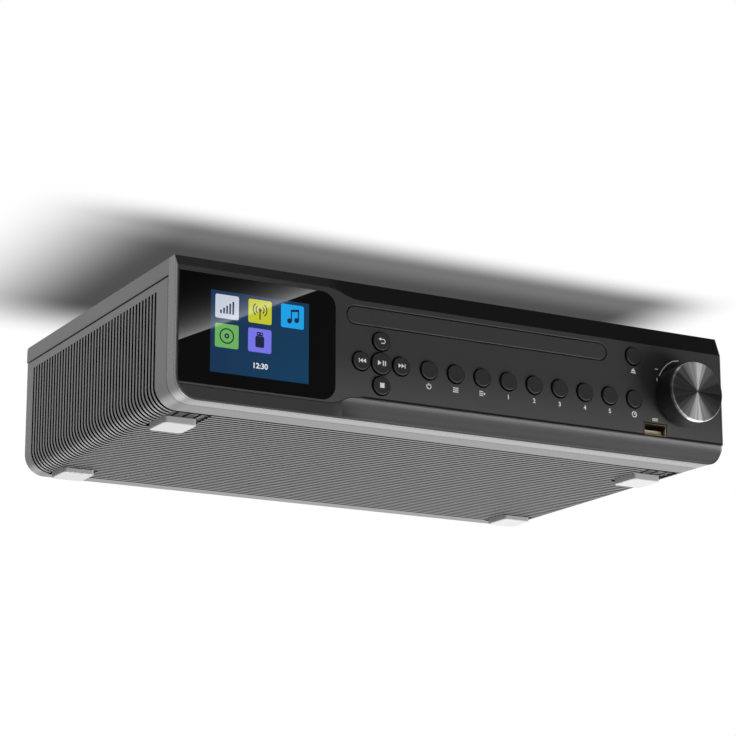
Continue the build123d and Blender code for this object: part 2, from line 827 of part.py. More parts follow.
def motor_pulley():
    wheel = post(0, 0, pulley_mid_z - 2, pulley_mid_z + 2, motor_pulley_radius)
    wheel -= belt_groove(motor_pulley_radius)
    wheel -= post(0, 0, 0, 90, motor_shaft_radius + running_gap)
    return Pos(pinion_x, loader_motor_y, 0) * wheel


def belt_outline(offset):
    """The way round both pulleys, this far outside their rims, in tangent runs and arcs."""
    span = loader_motor_y - pinion_y
    lean = asin((pulley_radius - motor_pulley_radius) / span)
    big, small = pulley_radius + offset, motor_pulley_radius + offset
    a = (big * cos(lean), big * sin(lean))
    b = (small * cos(lean), span + small * sin(lean))
    return make_face([
        Line(a, b),
        ThreePointArc(b, (0, span + small), (-b[0], b[1])),
        Line((-b[0], b[1]), (-a[0], a[1])),
        ThreePointArc((-a[0], a[1]), (0, -big), a),
    ])


def loading_belt():
    """Square belt from the motor's pulley to the pinion's."""
    band = belt_outline(belt_size / 2) - belt_outline(-belt_size / 2)
    return Pos(pinion_x, pinion_y, pulley_mid_z - belt_size / 2) * extrude(band, belt_size)


def loading_motor():
    top = pulley_mid_z - 2.6
    can = post(pinion_x, loader_motor_y, top - loader_motor_length, top, loader_motor_diameter / 2)
    return can + post(pinion_x, loader_motor_y, top, pulley_mid_z + 2.2, motor_shaft_radius)


def loader_frame():
    """Loader chassis: side walls with ledges for the tray, a floor with the traverse's well, and ears."""
    frame = block(tray_x - frame_outer, tray_x + frame_outer, frame_front_y, frame_back_y, frame_bottom, bridge_bottom)
    frame -= block(tray_x - frame_half, tray_x + frame_half, frame_front_y - 1, frame_back_y - frame_wall,
                   ledge_top, bridge_bottom + 1)
    frame -= block(tray_x - frame_half + ledge_width, tray_x + frame_half - ledge_width, frame_front_y + 14,
                   well_end_y, frame_bottom - 1, ledge_top + 1)
    for sx, y in loader_posts:
        ear_x = tray_x + sx * post_x
        frame += block(ear_x - frame_ear / 2 - 0.5, ear_x + frame_ear / 2 + 0.5, y - 5, y + 5,
                       frame_bottom, ledge_top)
        frame -= post(ear_x, y, frame_bottom - 1, ledge_top + 1, screw_radius + 0.25)
    reach = pulley_radius + 1.5
    front, back = pinion_y - reach, belt_end_y + 1.5
    left, right = pinion_x - reach, pinion_x + reach
    frame -= block(left, right, front, pinion_y + reach, frame_bottom - 9, bridge_bottom + 1)
    frame -= block(left, right, pinion_y, back, frame_bottom - 9, ledge_top + 0.2)
    shelf_z = pulley_mid_z - 2.6
    shelf = block(left, right, front - 3, back + 3, shelf_z - 1.5, shelf_z)
    shelf -= post(pinion_x, loader_motor_y, shelf_z - 2, shelf_z + 1, loader_motor_diameter / 2 + 0.1)
    shelf += block(tray_left, right, back, back + 3, shelf_z - 1, ledge_top)
    shelf += block(tray_left, right, front - 3, front, shelf_z - 1, ledge_top)
    spindle = post(pinion_x, pinion_y, shelf_z - 1, tray_bottom + rack_height, pinion_bore)
    spindle += post(pinion_x, pinion_y, shelf_z - 1, pulley_mid_z - pulley_thickness / 2 - seat_gap, 2.5)
    frame += shelf + spindle
    for sx in (-1, 1):
        arm_x = tray_x + sx * (traverse_width / 2 + 3.2)
        frame += block(arm_x - 1.4, arm_x + 1.4, traverse_pivot_y - 3, well_end_y + 2, frame_bottom - 8, ledge_top)
    half = traverse_width / 2 + 9
    return frame - (Pos(tray_x, traverse_pivot_y, pivot_z) * Rot(0, 90, 0) * Cylinder(1.5 + running_gap, 2 * half))


# The traverse is drawn level, as it is when it has lifted the disc, then turned down about its pivot
pivot_z = frame_bottom - 4.0
plate_top = tray_bottom - traverse_gap
pivot_axis = Axis((tray_x, traverse_pivot_y, pivot_z), (1, 0, 0))


def lowered(shape):
    return shape.rotate(pivot_axis, traverse_angle)


def traverse_plate():
    """Sprung steel plate that carries the spindle motor and the pickup's rods."""
    half = traverse_width / 2
    y0, y1 = disc_centre_y - 20, traverse_pivot_y + 2
    plate = block(tray_x - half, tray_x + half, y0, y1, plate_top - traverse_thickness, plate_top)
    plate = fillet(plate.edges().filter_by(Axis.Z), 4.0)
    plate -= post(tray_x, disc_centre_y, 0, 60, spindle_motor_radius - 4)
    plate -= block(tray_x - rod_spacing / 2 + 4, tray_x + rod_spacing / 2 - 4, disc_centre_y + 15,
                   disc_centre_y + 15 + sled_travel + sled_length + 6, 0, 60)
    for sx in (-1, 1):
        x = tray_x + sx * (half - 1)
        plate += block(x - 1, x + 1, traverse_pivot_y - 3, traverse_pivot_y + 2, pivot_z - 2.5, plate_top)
        plate += Pos(tray_x + sx * (half + 2.3), traverse_pivot_y, pivot_z) * Rot(0, 90, 0) * Cylinder(1.5, 5)
    for sx in (-1, 1):
        for y in (rod_front_y, rod_back_y):
            x = tray_x + sx * rod_spacing / 2
            holder = block(x - 2.5, x + 2.5, y - 1.5, y + 1.5, rod_z - 2.3, plate_top - 0.5)
            plate += holder - pin_y(x, rod_z, y - 3, y + 3, rod_radius)
    return plate


rod_front_y = disc_centre_y + 14
rod_back_y = rod_front_y + sled_travel + sled_length + 7
sled_motor_y = rod_back_y + 2.5
rod_z = plate_top - traverse_thickness - sled_motor_radius
lead_x = tray_x - rod_spacing / 2 + 6.5


def spindle_motor():
    top = plate_top - traverse_thickness
    can = post(tray_x, disc_centre_y, top - spindle_motor_height, top, spindle_motor_radius)
    return can + post(tray_x, disc_centre_y, top, clamp_bottom - disc_thickness - hub_disc_thickness + 0.4, 1.0)


def spindle_hub():
    """Turntable that the disc sits on, with the nose that centres it."""
    z0 = clamp_bottom - disc_thickness - hub_disc_thickness
    seat = post(tray_x, disc_centre_y, z0, z0 + hub_disc_thickness, hub_radius)
    nose_z = z0 + hub_disc_thickness
    nose = Pos(tray_x, disc_centre_y, nose_z + hub_nose_height / 2) * Cone(
        hub_nose_radius, hub_nose_radius - 1.6, hub_nose_height)
    boss = post(tray_x, disc_centre_y, plate_top + 0.4, z0 + 0.5, 4.0)
    return seat + nose + boss - post(tray_x, disc_centre_y, plate_top - 1, z0 + 0.6, 1.0 + running_gap)


def guide_rods():
    return [
        pin_y(tray_x + sx * rod_spacing / 2, rod_z, rod_front_y - 1.5, rod_back_y + 1.5, rod_radius)
        for sx in (-1, 1)
    ]


def laser_sled():
    """Pickup carriage on two rods, with its lens, drawn at the inner end of its travel."""
    y0 = rod_front_y + 3.0
    half = rod_spacing / 2
    body = block(tray_x - half + 5, tray_x + half - 5, y0, y0 + sled_length, rod_z - 3.5, plate_top - 0.4)
    for sx in (-1, 1):
        x = tray_x + sx * half
        body += block(min(x - sx * 6, x + sx * 2.5), max(x - sx * 6, x + sx * 2.5), y0 + 4, y0 + sled_length - 4,
                      rod_z - 2.4, rod_z + 2.4)
        body -= pin_y(x, rod_z, 0, 200, rod_radius + running_gap)
    body -= pin_y(lead_x, rod_z, 0, 200, screw_shaft_radius + 0.4)
    lens_top = clamp_bottom - disc_thickness - lens_reach
    return body + post(tray_x, y0 + sled_length / 2, plate_top - 0.5, lens_top, lens_radius)


def lead_screw():
    """Screw that carries the sled along, turned by the small motor on its back end."""
    return pin_y(lead_x, rod_z, rod_front_y + 1.6, sled_motor_y + 4.0, screw_shaft_radius)


def sled_motor():
    """Motor on the lead screw, held under the plate by a short foot."""
    can = pin_y(lead_x, rod_z, sled_motor_y, sled_motor_y + sled_motor_length, sled_motor_radius)
    foot_back = traverse_pivot_y + 2
    can += block(lead_x - 3, lead_x + 3, sled_motor_y, foot_back, rod_z, plate_top - traverse_thickness)
    return can - pin_y(lead_x, rod_z, sled_motor_y - 1, sled_motor_y + 4.5, screw_shaft_radius + running_gap)


def clamp_bridge():
    """Steel strap across the top of the loader that holds the clamping disc over the spindle."""
    y0 = disc_centre_y - bridge_width / 2
    strap = block(tray_x - frame_outer, tray_x + frame_outer, y0, y0 + bridge_width,
                  bridge_bottom, bridge_bottom + bridge_thickness)
    return strap - post(tray_x, disc_centre_y, 0, 70, clamp_radius - 3.0)


def clamp_disc():
    """Clamping disc that hangs by its rim in the strap's round window."""
    z0 = bridge_bottom + bridge_thickness + seat_gap
    rim = post(tray_x, disc_centre_y, z0, z0 + 1.0, clamp_radius)
    body = post(tray_x, disc_centre_y, clamp_bottom, z0 + 0.5, clamp_radius - 3.6)
    nose_room = hub_nose_height - disc_thickness + 0.6
    return rim + body - post(tray_x, disc_centre_y, clamp_bottom - 1, clamp_bottom + nose_room, hub_nose_radius + 0.6)


def speaker_basket(side):
    """Square-flanged basket with its magnet, face down on the underside."""
    x, y = side * speaker_x, speaker_y
    z0 = wall + seat_gap
    half = speaker_size / 2
    basket = block(x - half, x + half, y - half, y + half, z0, z0 + speaker_flange)
    basket = fillet(basket.edges().filter_by(Axis.Z), 6.0)
    cup_height = speaker_depth - magnet_height - speaker_flange
    mid = z0 + speaker_flange + cup_height / 2
    basket += Pos(x, y, mid) * Cone(half - 2, magnet_radius - 2, cup_height)
    basket += post(x, y, z0 + speaker_depth - magnet_height - 0.01, z0 + speaker_depth, magnet_radius)
    hollow = Pos(x, y, mid - 2.5) * Cone(half - 3.5, magnet_radius - 3.5, cup_height + 1)
    return basket - hollow - post(x, y, z0 - 1, z0 + speaker_flange, half - 3.5)


def speaker_cone(side):
    x, y = side * speaker_x, speaker_y
    z0 = wall + 2 * seat_gap + 0.8
    outer, inner, height = speaker_size / 2 - 5.0, 6.0, 8.0
    cone = Pos(x, y, z0 + height / 2) * Cone(outer, inner, height)
    return cone - Pos(x, y, z0 - cone_wall + height / 2) * Cone(outer, inner, height)


def foot(x, y):
    """Pale rubber foot in its pocket."""
    z_top = groove_depth
    pad = block(x - foot_width / 2, x + foot_width / 2, y - foot_length / 2, y + foot_length / 2, -foot_proud, z_top)
    pad = fillet(pad.edges().filter_by(Axis.Z), 2.0)
    return chamfer(pad.faces().sort_by(Axis.Z)[0].edges(), 0.3)


def main_board():
    half = main_board_width / 2
    board = block(-half, half, main_board_y - main_board_length / 2, main_board_y + main_board_length / 2,
                  main_board_z, main_board_z + board_thickness)
    chip_x, top = half / 4, main_board_z + board_thickness
    return board + block(chip_x - chip_size / 2, chip_x + chip_size / 2, main_board_y - chip_size / 2,
                         main_board_y + chip_size / 2, top - 0.1, top + 1.2)


def tuner_module():
    """Screened radio module on the main board."""
    z0 = main_board_z + board_thickness
    left, front = -main_board_width / 2 + 12, main_board_y - 18
    can = block(left, left + tuner_width, front, front + tuner_length, z0, z0 + 4)
    return chamfer(can.faces().sort_by(Axis.Z)[-1].edges(), 0.6)


def heat_sink():
    """Finned bar beside the amplifier chip."""
    z0 = main_board_z + board_thickness
    front, back = main_board_y - main_board_length / 3, main_board_y + main_board_length / 3
    left = main_board_width / 2 - 10 - sink_width
    sink = block(left, left + sink_width, front, back, z0, z0 + 2)
    for i in range(fin_count):
        x = left + i * (sink_width - fin_thickness) / (fin_count - 1)
        sink += block(x, x + fin_thickness, front, back, z0 + 1.5, z0 + sink_height)
    return sink


def usb_board():
    """Small board that the memory-stick socket is soldered to."""
    top = socket_z - socket_height / 2
    half, front = socket_board_width / 2, 4.0
    board = block(socket_x - half, socket_x + half, front, front + socket_board_length, top - board_thickness, top)
    for sx in (-1, 1):
        hole_x, hole_y = socket_x + sx * (half - 3), front + socket_board_length - 4
        board -= post(hole_x, hole_y, top - 3, top + 1, screw_radius + 0.25)
    return board


def jack_case(x, y_back, length, side):
    half = side / 2
    return block(x - half, x + half, y_back - length, y_back, wall + seat_gap, jack_z + half)


def dc_jack():
    inner = casing_depth - wall - seat_gap
    case = jack_case(dc_jack_x, inner, dc_length, 9.0)
    case += pin_y(dc_jack_x, jack_z, inner - 0.1, casing_depth - 0.2, dc_barrel_radius + 1.0)
    case -= pin_y(dc_jack_x, jack_z, inner - dc_length + 1.5, casing_depth + 1, dc_barrel_radius)
    return case + pin_y(dc_jack_x, jack_z, inner - dc_length + 1, casing_depth - 1.5, dc_pin_radius)


def audio_jack():
    inner = casing_depth - wall - seat_gap
    case = jack_case(audio_jack_x, inner, jack_length, 8.0)
    case += pin_y(audio_jack_x, jack_z, inner - 0.1, casing_depth, jack_plug_radius + 1.1)
    return case - pin_y(audio_jack_x, jack_z, inner - jack_length + 1, casing_depth + 1, jack_plug_radius)


def mounting_inserts():
    made = []
    for x, y in inserts:
        z0 = casing_height - insert_length + seat_gap
        sleeve = post(x, y, z0, casing_height, insert_radius - seat_gap / 2)
        made.append(sleeve - post(x, y, z0 - 1, casing_height + 1, insert_bore))
    return made


def casing_screws():
    made = []
    head_top = casing_height - 0.2
    for x, y in cover_screws:
        screw = post(x, y, head_top - screw_head_height, head_top, screw_head_radius)
        made.append(screw + post(x, y, seam_height - 10, head_top, screw_radius - 0.05))
    return made


def write(name, shape):
    """Moves a piece to the origin of the part and writes it under its node's name."""
    solids = shape if isinstance(shape, list) else [shape]
    placed = [Pos(0, -mount_centre_y, -casing_height) * s for s in solids]
    pieces = [s for p in placed for s in p.solids()]
    export_step(pieces[0] if len(pieces) == 1 else Compound(pieces), f"parts/{name}.step")


os.makedirs("parts", exist_ok=True)
write("lower_shell", lower_shell())
write("top_cover", top_cover())
write("front_bezel", front_bezel())
write("control_panel", control_panel())
write("display_window", display_window())
write("lcd_glass", lcd_glass())
write("lcd_frame", lcd_frame())
for name, x, z, diameter in buttons:
    write(name, button(x, z, diameter))
write("button_switches", button_switches())
write("button_board", button_board())
write("knob_skirt", knob_skirt())
write("knob_cap", knob_cap())
write("encoder_shaft", encoder_shaft())
write("encoder_rotor", encoder_rotor())
write("encoder_body", encoder_body())
write("usb_shell", usb_shell())
write("usb_tongue", usb_tongue())
write("tray_front", tray_front())
write("disc_tray", disc_tray())
write("loading_pinion", loading_pinion())
write("motor_pulley", motor_pulley())
write("loading_belt", loading_belt())
write("loading_motor", loading_motor())
write("loader_frame", loader_frame())
write("clamp_bridge", clamp_bridge())
write("clamp_disc", clamp_disc())
for name, shape in (
    ("traverse_plate", traverse_plate()),
    ("spindle_motor", spindle_motor()),
    ("spindle_hub", spindle_hub()),
    ("laser_sled", laser_sled()),
    ("lead_screw", lead_screw()),
    ("sled_motor", sled_motor()),
):
    write(name, lowered(shape))
write("guide_rods", [lowered(rod) for rod in guide_rods()])
for side, name in ((-1, "left"), (1, "right")):
    write(f"speaker_basket_{name}", speaker_basket(side))
    write(f"speaker_cone_{name}", speaker_cone(side))
write("feet", [foot(x, y) for name, x, y in feet])
write("main_board", main_board())
write("tuner_module", tuner_module())
write("heat_sink", heat_sink())
write("usb_board", usb_board())
write("dc_jack", dc_jack())
write("audio_jack", audio_jack())
write("mounting_inserts", mounting_inserts())
write("casing_screws", casing_screws())
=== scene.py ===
"""Looks of the under-cabinet disc radio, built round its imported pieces."""

import json
import math

import bmesh
import bpy
from mathutils import Matrix, Vector


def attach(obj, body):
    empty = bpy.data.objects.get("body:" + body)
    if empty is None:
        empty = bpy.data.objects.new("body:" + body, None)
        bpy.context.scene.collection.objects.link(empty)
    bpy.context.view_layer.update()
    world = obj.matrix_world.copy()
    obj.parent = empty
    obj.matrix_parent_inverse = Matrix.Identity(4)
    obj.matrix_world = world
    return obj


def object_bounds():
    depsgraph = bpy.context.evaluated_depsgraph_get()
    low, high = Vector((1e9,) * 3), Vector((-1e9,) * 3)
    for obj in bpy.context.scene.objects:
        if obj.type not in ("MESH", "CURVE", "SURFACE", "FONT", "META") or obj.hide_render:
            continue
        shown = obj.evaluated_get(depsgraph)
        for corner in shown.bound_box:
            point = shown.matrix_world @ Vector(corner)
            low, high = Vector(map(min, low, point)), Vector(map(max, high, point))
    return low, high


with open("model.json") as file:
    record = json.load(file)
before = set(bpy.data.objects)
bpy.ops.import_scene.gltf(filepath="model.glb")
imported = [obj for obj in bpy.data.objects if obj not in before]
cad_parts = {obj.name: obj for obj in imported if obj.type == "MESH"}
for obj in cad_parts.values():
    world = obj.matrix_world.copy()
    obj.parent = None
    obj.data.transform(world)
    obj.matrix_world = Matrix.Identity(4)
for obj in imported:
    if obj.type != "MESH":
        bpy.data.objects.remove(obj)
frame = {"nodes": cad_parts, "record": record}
cad_low, cad_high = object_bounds()

# The mounting inserts' centre, from the casing's middle on its front underside, in mm
ORIGIN = Vector((0.0, 98.0, 66.0))
MM = 0.001


def at(x, y, z):
    """A point given in mm from the middle of the front's lower edge, in the frame's metres."""
    return (Vector((x, y, z)) - ORIGIN) * MM


# Sizes and places, in mm, as they are in the part
HALF_WIDTH = 148.5
CORNER = 10.5
SEAM = 58.2
BEZEL_DEPTH = 10.0
SPLIT_LINE = 1.9
LAST_GROOVE = 183.0
STRIP_TOP = 10.5
LIP_FOOT = 55.6
SCREEN = (-107.7, 32.5)
SCREEN_SIZE = (49.0, 37.6)
ROW_START, ROW_PITCH, ROW_Z = -20.4, 14.4875, 28.0
CROSS = (-45.8, 28.0)
CROSS_ARM = 10.5
EJECT = (95.5, 49.6)
KNOB = (122.7, 31.8)
SOCKET = (107.8, 14.1)
KEY_FACE = -1.2
PRINT_LIFT = 0.03

# Near-black for painted shade: in the grooves, seams and joints, at the strip's top edge and on the panel's
# lip
PAINTED_SHADE_BLACK = (0.008, 0.008, 0.0085)


# Node helpers

def new_material(name):
    """A material with only its principled shader: the material, its tree and the shader."""
    mat = bpy.data.materials.new(name)
    mat.use_nodes = True
    nodes = mat.node_tree.nodes
    nodes.clear()
    out = nodes.new("ShaderNodeOutputMaterial")
    shader = nodes.new("ShaderNodeBsdfPrincipled")
    mat.node_tree.links.new(shader.outputs["BSDF"], out.inputs["Surface"])
    return mat, mat.node_tree, shader


def node(tree, kind, **values):
    """A node whose properties and inputs are set by name."""
    made = tree.nodes.new(kind)
    for key, value in values.items():
        socket = made.inputs.get(key.replace("_", " ")) if not hasattr(made, key) else None
        if socket is not None:
            socket.default_value = value
        else:
            setattr(made, key, value)
    return made


def math_node(tree, operation, a, b=None, clamp=False):
    """The result of a sum on sockets or numbers."""
    made = tree.nodes.new("ShaderNodeMath")
    made.operation = operation
    made.use_clamp = clamp
    for socket, value in zip(made.inputs, (a, b)):
        if value is None:
            continue
        if isinstance(value, (int, float)):
            socket.default_value = value
        else:
            tree.links.new(value, socket)
    return made.outputs[0]


def mix_colour(tree, factor, a, b):
    """From a, where the factor is 0, to b, where it is 1."""
    made = tree.nodes.new("ShaderNodeMix")
    made.data_type = "RGBA"
    for socket, value in ((made.inputs["Factor"], factor), (made.inputs[6], a), (made.inputs[7], b)):
        if isinstance(value, (int, float)):
            socket.default_value = value
        elif isinstance(value, tuple):
            socket.default_value = (*value, 1.0)
        else:
            tree.links.new(value, socket)
    return made.outputs[2]


def object_point(tree):
    """Where the shaded point is on its piece, in metres."""
    return tree.nodes.new("ShaderNodeTexCoord").outputs["Object"]


def axes_of(tree, vector):
    """The X, Y and Z of a vector, as sockets by name."""
    made = tree.nodes.new("ShaderNodeSeparateXYZ")
    tree.links.new(vector, made.inputs[0])
    return made.outputs


def object_axes(tree):
    return axes_of(tree, object_point(tree))


def normal_axes(tree):
    return axes_of(tree, tree.nodes.new("ShaderNodeNewGeometry").outputs["Normal"])


def scaled(tree, value, factor, offset):
    """The value times the factor, plus the offset."""
    made = math_node(tree, "MULTIPLY_ADD", value, factor)
    made.node.inputs[2].default_value = offset
    return made


def ramp(tree, value, low, high):
    """A smooth rise from 0 to 1 as the value goes from low to high."""
    made = node(tree, "ShaderNodeMapRange", interpolation_type="SMOOTHSTEP")
    tree.links.new(value, made.inputs["Value"])
    made.inputs["From Min"].default_value = low
    made.inputs["From Max"].default_value = high
    return made.outputs[0]


def span(tree, places, axis, low, high):
    """A smooth rise from 0 to 1 between two places along an axis, given in mm."""
    start = ORIGIN["XYZ".index(axis)]
    return ramp(tree, places[axis], (low - start) * MM, (high - start) * MM)


# Shared effects, as node groups

def shader_group(name, inputs, outputs):
    """An empty shader group with float inputs, given as (name, value), and outputs, given as (name, kind)."""
    group = bpy.data.node_groups.new(name, "ShaderNodeTree")
    for label, value in inputs:
        socket = group.interface.new_socket(label, in_out="INPUT", socket_type="NodeSocketFloat")
        socket.default_value = value
    for label, kind in outputs:
        group.interface.new_socket(label, in_out="OUTPUT", socket_type=kind)
    return group, group.nodes.new("NodeGroupInput"), group.nodes.new("NodeGroupOutput")


def moulded_grain():
    """Fine spark-eroded grain of moulded plastic, with slow patches where the mould is polished."""
    group, into, out = shader_group(
        "moulded_grain",
        [("Grains per mm", 4.0), ("Depth", 0.3), ("Patchiness", 0.05), ("Roughness", 0.45)],
        [("Normal", "NodeSocketVector"), ("Roughness", "NodeSocketFloat"), ("Shade", "NodeSocketFloat")],
    )
    link = group.links.new
    point = object_point(group)
    fine = node(group, "ShaderNodeTexNoise", Detail=3.0)
    link(point, fine.inputs["Vector"])
    link(math_node(group, "MULTIPLY", into.outputs["Grains per mm"], 1000.0), fine.inputs["Scale"])
    broad = node(group, "ShaderNodeTexNoise", Scale=38.0, Detail=2.0)
    link(point, broad.inputs["Vector"])
    bump = node(group, "ShaderNodeBump", Distance=0.00006)
    link(fine.outputs["Fac"], bump.inputs["Height"])
    link(into.outputs["Depth"], bump.inputs["Strength"])
    link(bump.outputs["Normal"], out.inputs["Normal"])
    swing = math_node(group, "SUBTRACT", broad.outputs["Fac"], 0.5)
    speck = math_node(group, "SUBTRACT", fine.outputs["Fac"], 0.5)
    patch = math_node(group, "MULTIPLY", swing, into.outputs["Patchiness"])
    rough = math_node(group, "ADD", into.outputs["Roughness"], patch)
    link(math_node(group, "ADD", rough, math_node(group, "MULTIPLY", speck, 0.06)), out.inputs["Roughness"])
    mottle = math_node(group, "ADD", math_node(group, "MULTIPLY", patch, 0.6),
                       math_node(group, "MULTIPLY", speck, 0.12))
    link(math_node(group, "ADD", mottle, 1.0), out.inputs["Shade"])
    return group


def dust_settle():
    """A thin pale film on what faces up, thicker in patches."""
    group, into, out = shader_group(
        "dust_settle", [("Amount", 0.2)], [("Mask", "NodeSocketFloat")]
    )
    link = group.links.new
    patches = node(group, "ShaderNodeTexNoise", Scale=60.0, Detail=5.0, Roughness=0.7)
    link(object_point(group), patches.inputs["Vector"])
    up = math_node(group, "MAXIMUM", normal_axes(group)["Z"], 0.0)
    mask = math_node(group, "MULTIPLY", math_node(group, "MULTIPLY", up, up), patches.outputs["Fac"])
    link(math_node(group, "MULTIPLY", mask, into.outputs["Amount"], clamp=True), out.inputs["Mask"])
    return group


def outline_depth():
    """How far a point is inside the casing's outer surface, in mm, on its sides, underside and corners."""
    group, into, out = shader_group("outline_depth", [("Shift", 0.0)], [("Depth", "NodeSocketFloat")])
    link = group.links.new
    place = object_axes(group)
    across = math_node(group, "ABSOLUTE", place["X"])
    over_x = math_node(group, "SUBTRACT", across, (HALF_WIDTH - CORNER) * MM)
    over_z = math_node(group, "SUBTRACT", at(0, 0, CORNER).z, place["Z"])
    past_x = math_node(group, "MAXIMUM", over_x, 0.0)
    past_z = math_node(group, "MAXIMUM", over_z, 0.0)
    squares = math_node(group, "ADD", math_node(group, "MULTIPLY", past_x, past_x),
                        math_node(group, "MULTIPLY", past_z, past_z))
    inner = math_node(group, "MINIMUM", math_node(group, "MAXIMUM", over_x, over_z), 0.0)
    outside = math_node(group, "ADD", math_node(group, "SQRT", squares), inner)
    depth = math_node(group, "MULTIPLY", math_node(group, "SUBTRACT", CORNER * MM, outside), 1000.0)
    link(math_node(group, "ADD", depth, into.outputs["Shift"]), out.inputs["Depth"])
    return group


GRAIN = moulded_grain()
DUST = dust_settle()
OUTLINE = outline_depth()


def use_group(tree, group, **values):
    """A shared effect with its inputs set by name."""
    made = tree.nodes.new("ShaderNodeGroup")
    made.node_tree = group
    for key, value in values.items():
        made.inputs[key.replace("_", " ")].default_value = value
    return made


def moulded(name, colour, rough, grains=4.0, depth=0.3, patch=0.05, metallic=0.0, specular=0.5, dust=0.0,
            coat=0.0, sheen=0.0):
    """Moulded or sprayed plastic: grain in the normal, patches in roughness and shade, dust on top."""
    mat, tree, shader = new_material(name)
    link = tree.links.new
    grain = use_group(tree, GRAIN, Grains_per_mm=grains, Depth=depth, Patchiness=patch, Roughness=rough)
    tint = node(tree, "ShaderNodeVectorMath", operation="SCALE")
    tint.inputs[0].default_value = colour
    link(grain.outputs["Shade"], tint.inputs["Scale"])
    result = tint.outputs[0]
    if dust:
        film = use_group(tree, DUST, Amount=dust)
        result = mix_colour(tree, film.outputs["Mask"], result, (0.42, 0.41, 0.4))
    link(result, shader.inputs["Base Color"])
    link(grain.outputs["Roughness"], shader.inputs["Roughness"])
    link(grain.outputs["Normal"], shader.inputs["Normal"])
    shader.inputs["Metallic"].default_value = metallic
    shader.inputs["Specular IOR Level"].default_value = specular
    shader.inputs["Coat Weight"].default_value = coat
    shader.inputs["Sheen Weight"].default_value = sheen
    return mat


def metal(name, colour, rough, brush=(1.0, 40.0, 1.0), depth=0.15):
    """Plated or brushed metal, with streaks that follow the axes by their scales."""
    mat, tree, shader = new_material(name)
    link = tree.links.new
    stretch = node(tree, "ShaderNodeMapping")
    stretch.inputs["Scale"].default_value = brush
    link(object_point(tree), stretch.inputs["Vector"])
    streak = node(tree, "ShaderNodeTexNoise", Scale=90.0, Detail=4.0)
    link(stretch.outputs[0], streak.inputs["Vector"])
    link(scaled(tree, streak.outputs["Fac"], 0.25, rough - 0.12), shader.inputs["Roughness"])
    bump = node(tree, "ShaderNodeBump", Distance=0.00004, Strength=depth)
    link(streak.outputs["Fac"], bump.inputs["Height"])
    link(bump.outputs["Normal"], shader.inputs["Normal"])
    tint = node(tree, "ShaderNodeVectorMath", operation="SCALE")
    tint.inputs[0].default_value = colour
    link(scaled(tree, streak.outputs["Fac"], 0.3, 0.85), tint.inputs["Scale"])
    link(tint.outputs[0], shader.inputs["Base Color"])
    shader.inputs["Metallic"].default_value = 1.0
    return mat


def spun_metal():
    """Face of the knob: concentric turning marks, whose highlights the anisotropic shading stretches, with a
    painted highlight as well: lighter above and below the centre, in uneven beams.
    """
    mat, tree, shader = new_material("knob_spun_metal")
    link = tree.links.new
    centre = at(KNOB[0], 0, KNOB[1])
    place = node(tree, "ShaderNodeVectorMath", operation="SUBTRACT")
    link(object_point(tree), place.inputs[0])
    place.inputs[1].default_value = (centre.x, 0.0, centre.z)
    off = axes_of(tree, place.outputs[0])
    square = math_node(tree, "MULTIPLY", off["X"], off["X"])
    total = math_node(tree, "ADD", square, math_node(tree, "MULTIPLY", off["Z"], off["Z"]))
    radius = math_node(tree, "SQRT", total)
    marks = node(tree, "ShaderNodeTexNoise", noise_dimensions="1D", Scale=9000.0, Detail=4.0, Roughness=0.7)
    link(radius, marks.inputs["W"])
    bump = node(tree, "ShaderNodeBump", Distance=0.00003, Strength=0.35)
    link(marks.outputs["Fac"], bump.inputs["Height"])
    link(bump.outputs["Normal"], shader.inputs["Normal"])
    # Painted highlight: the colour is lighter above and below the centre, broken into uneven beams round it
    upright = math_node(tree, "DIVIDE", math_node(tree, "ABSOLUTE", off["Z"]),
                        math_node(tree, "MAXIMUM", radius, 0.0002))
    painted_fan = math_node(tree, "MULTIPLY", math_node(tree, "MULTIPLY", upright, upright), upright)
    streaks = node(tree, "ShaderNodeTexNoise", noise_dimensions="1D", Scale=3.2, Detail=2.0)
    link(math_node(tree, "ARCTAN2", off["Z"], off["X"]), streaks.inputs["W"])
    painted_beams = scaled(tree, ramp(tree, streaks.outputs["Fac"], 0.35, 0.65), 0.7, 0.6)
    painted_beams = math_node(tree, "MULTIPLY", scaled(tree, painted_fan, 1.1, 0.45), painted_beams)
    shade = scaled(tree, marks.outputs["Fac"], 0.3, 0.42)
    link(math_node(tree, "MULTIPLY", shade, painted_beams), shader.inputs["Base Color"])
    link(scaled(tree, marks.outputs["Fac"], 0.12, 0.24), shader.inputs["Roughness"])
    tangent = node(tree, "ShaderNodeTangent", direction_type="RADIAL", axis="Y")
    link(tangent.outputs[0], shader.inputs["Tangent"])
    shader.inputs["Metallic"].default_value = 1.0
    shader.inputs["Anisotropic"].default_value = 0.85
    shader.inputs["Anisotropic Rotation"].default_value = 0.25
    return mat


def parts_of(mat):
    """A finished material's tree and shader, with what colours it so far."""
    shader = mat.node_tree.nodes["Principled BSDF"]
    return mat.node_tree, shader, shader.inputs["Base Color"].links[0].from_socket


def casing_paint(name, shade, rough):
    """The fine silver-grey spray that the shell and the lid share."""
    return moulded(name, shade, rough, grains=5.0, depth=0.12, patch=0.03, specular=0.6, metallic=0.35,
                   dust=0.02)


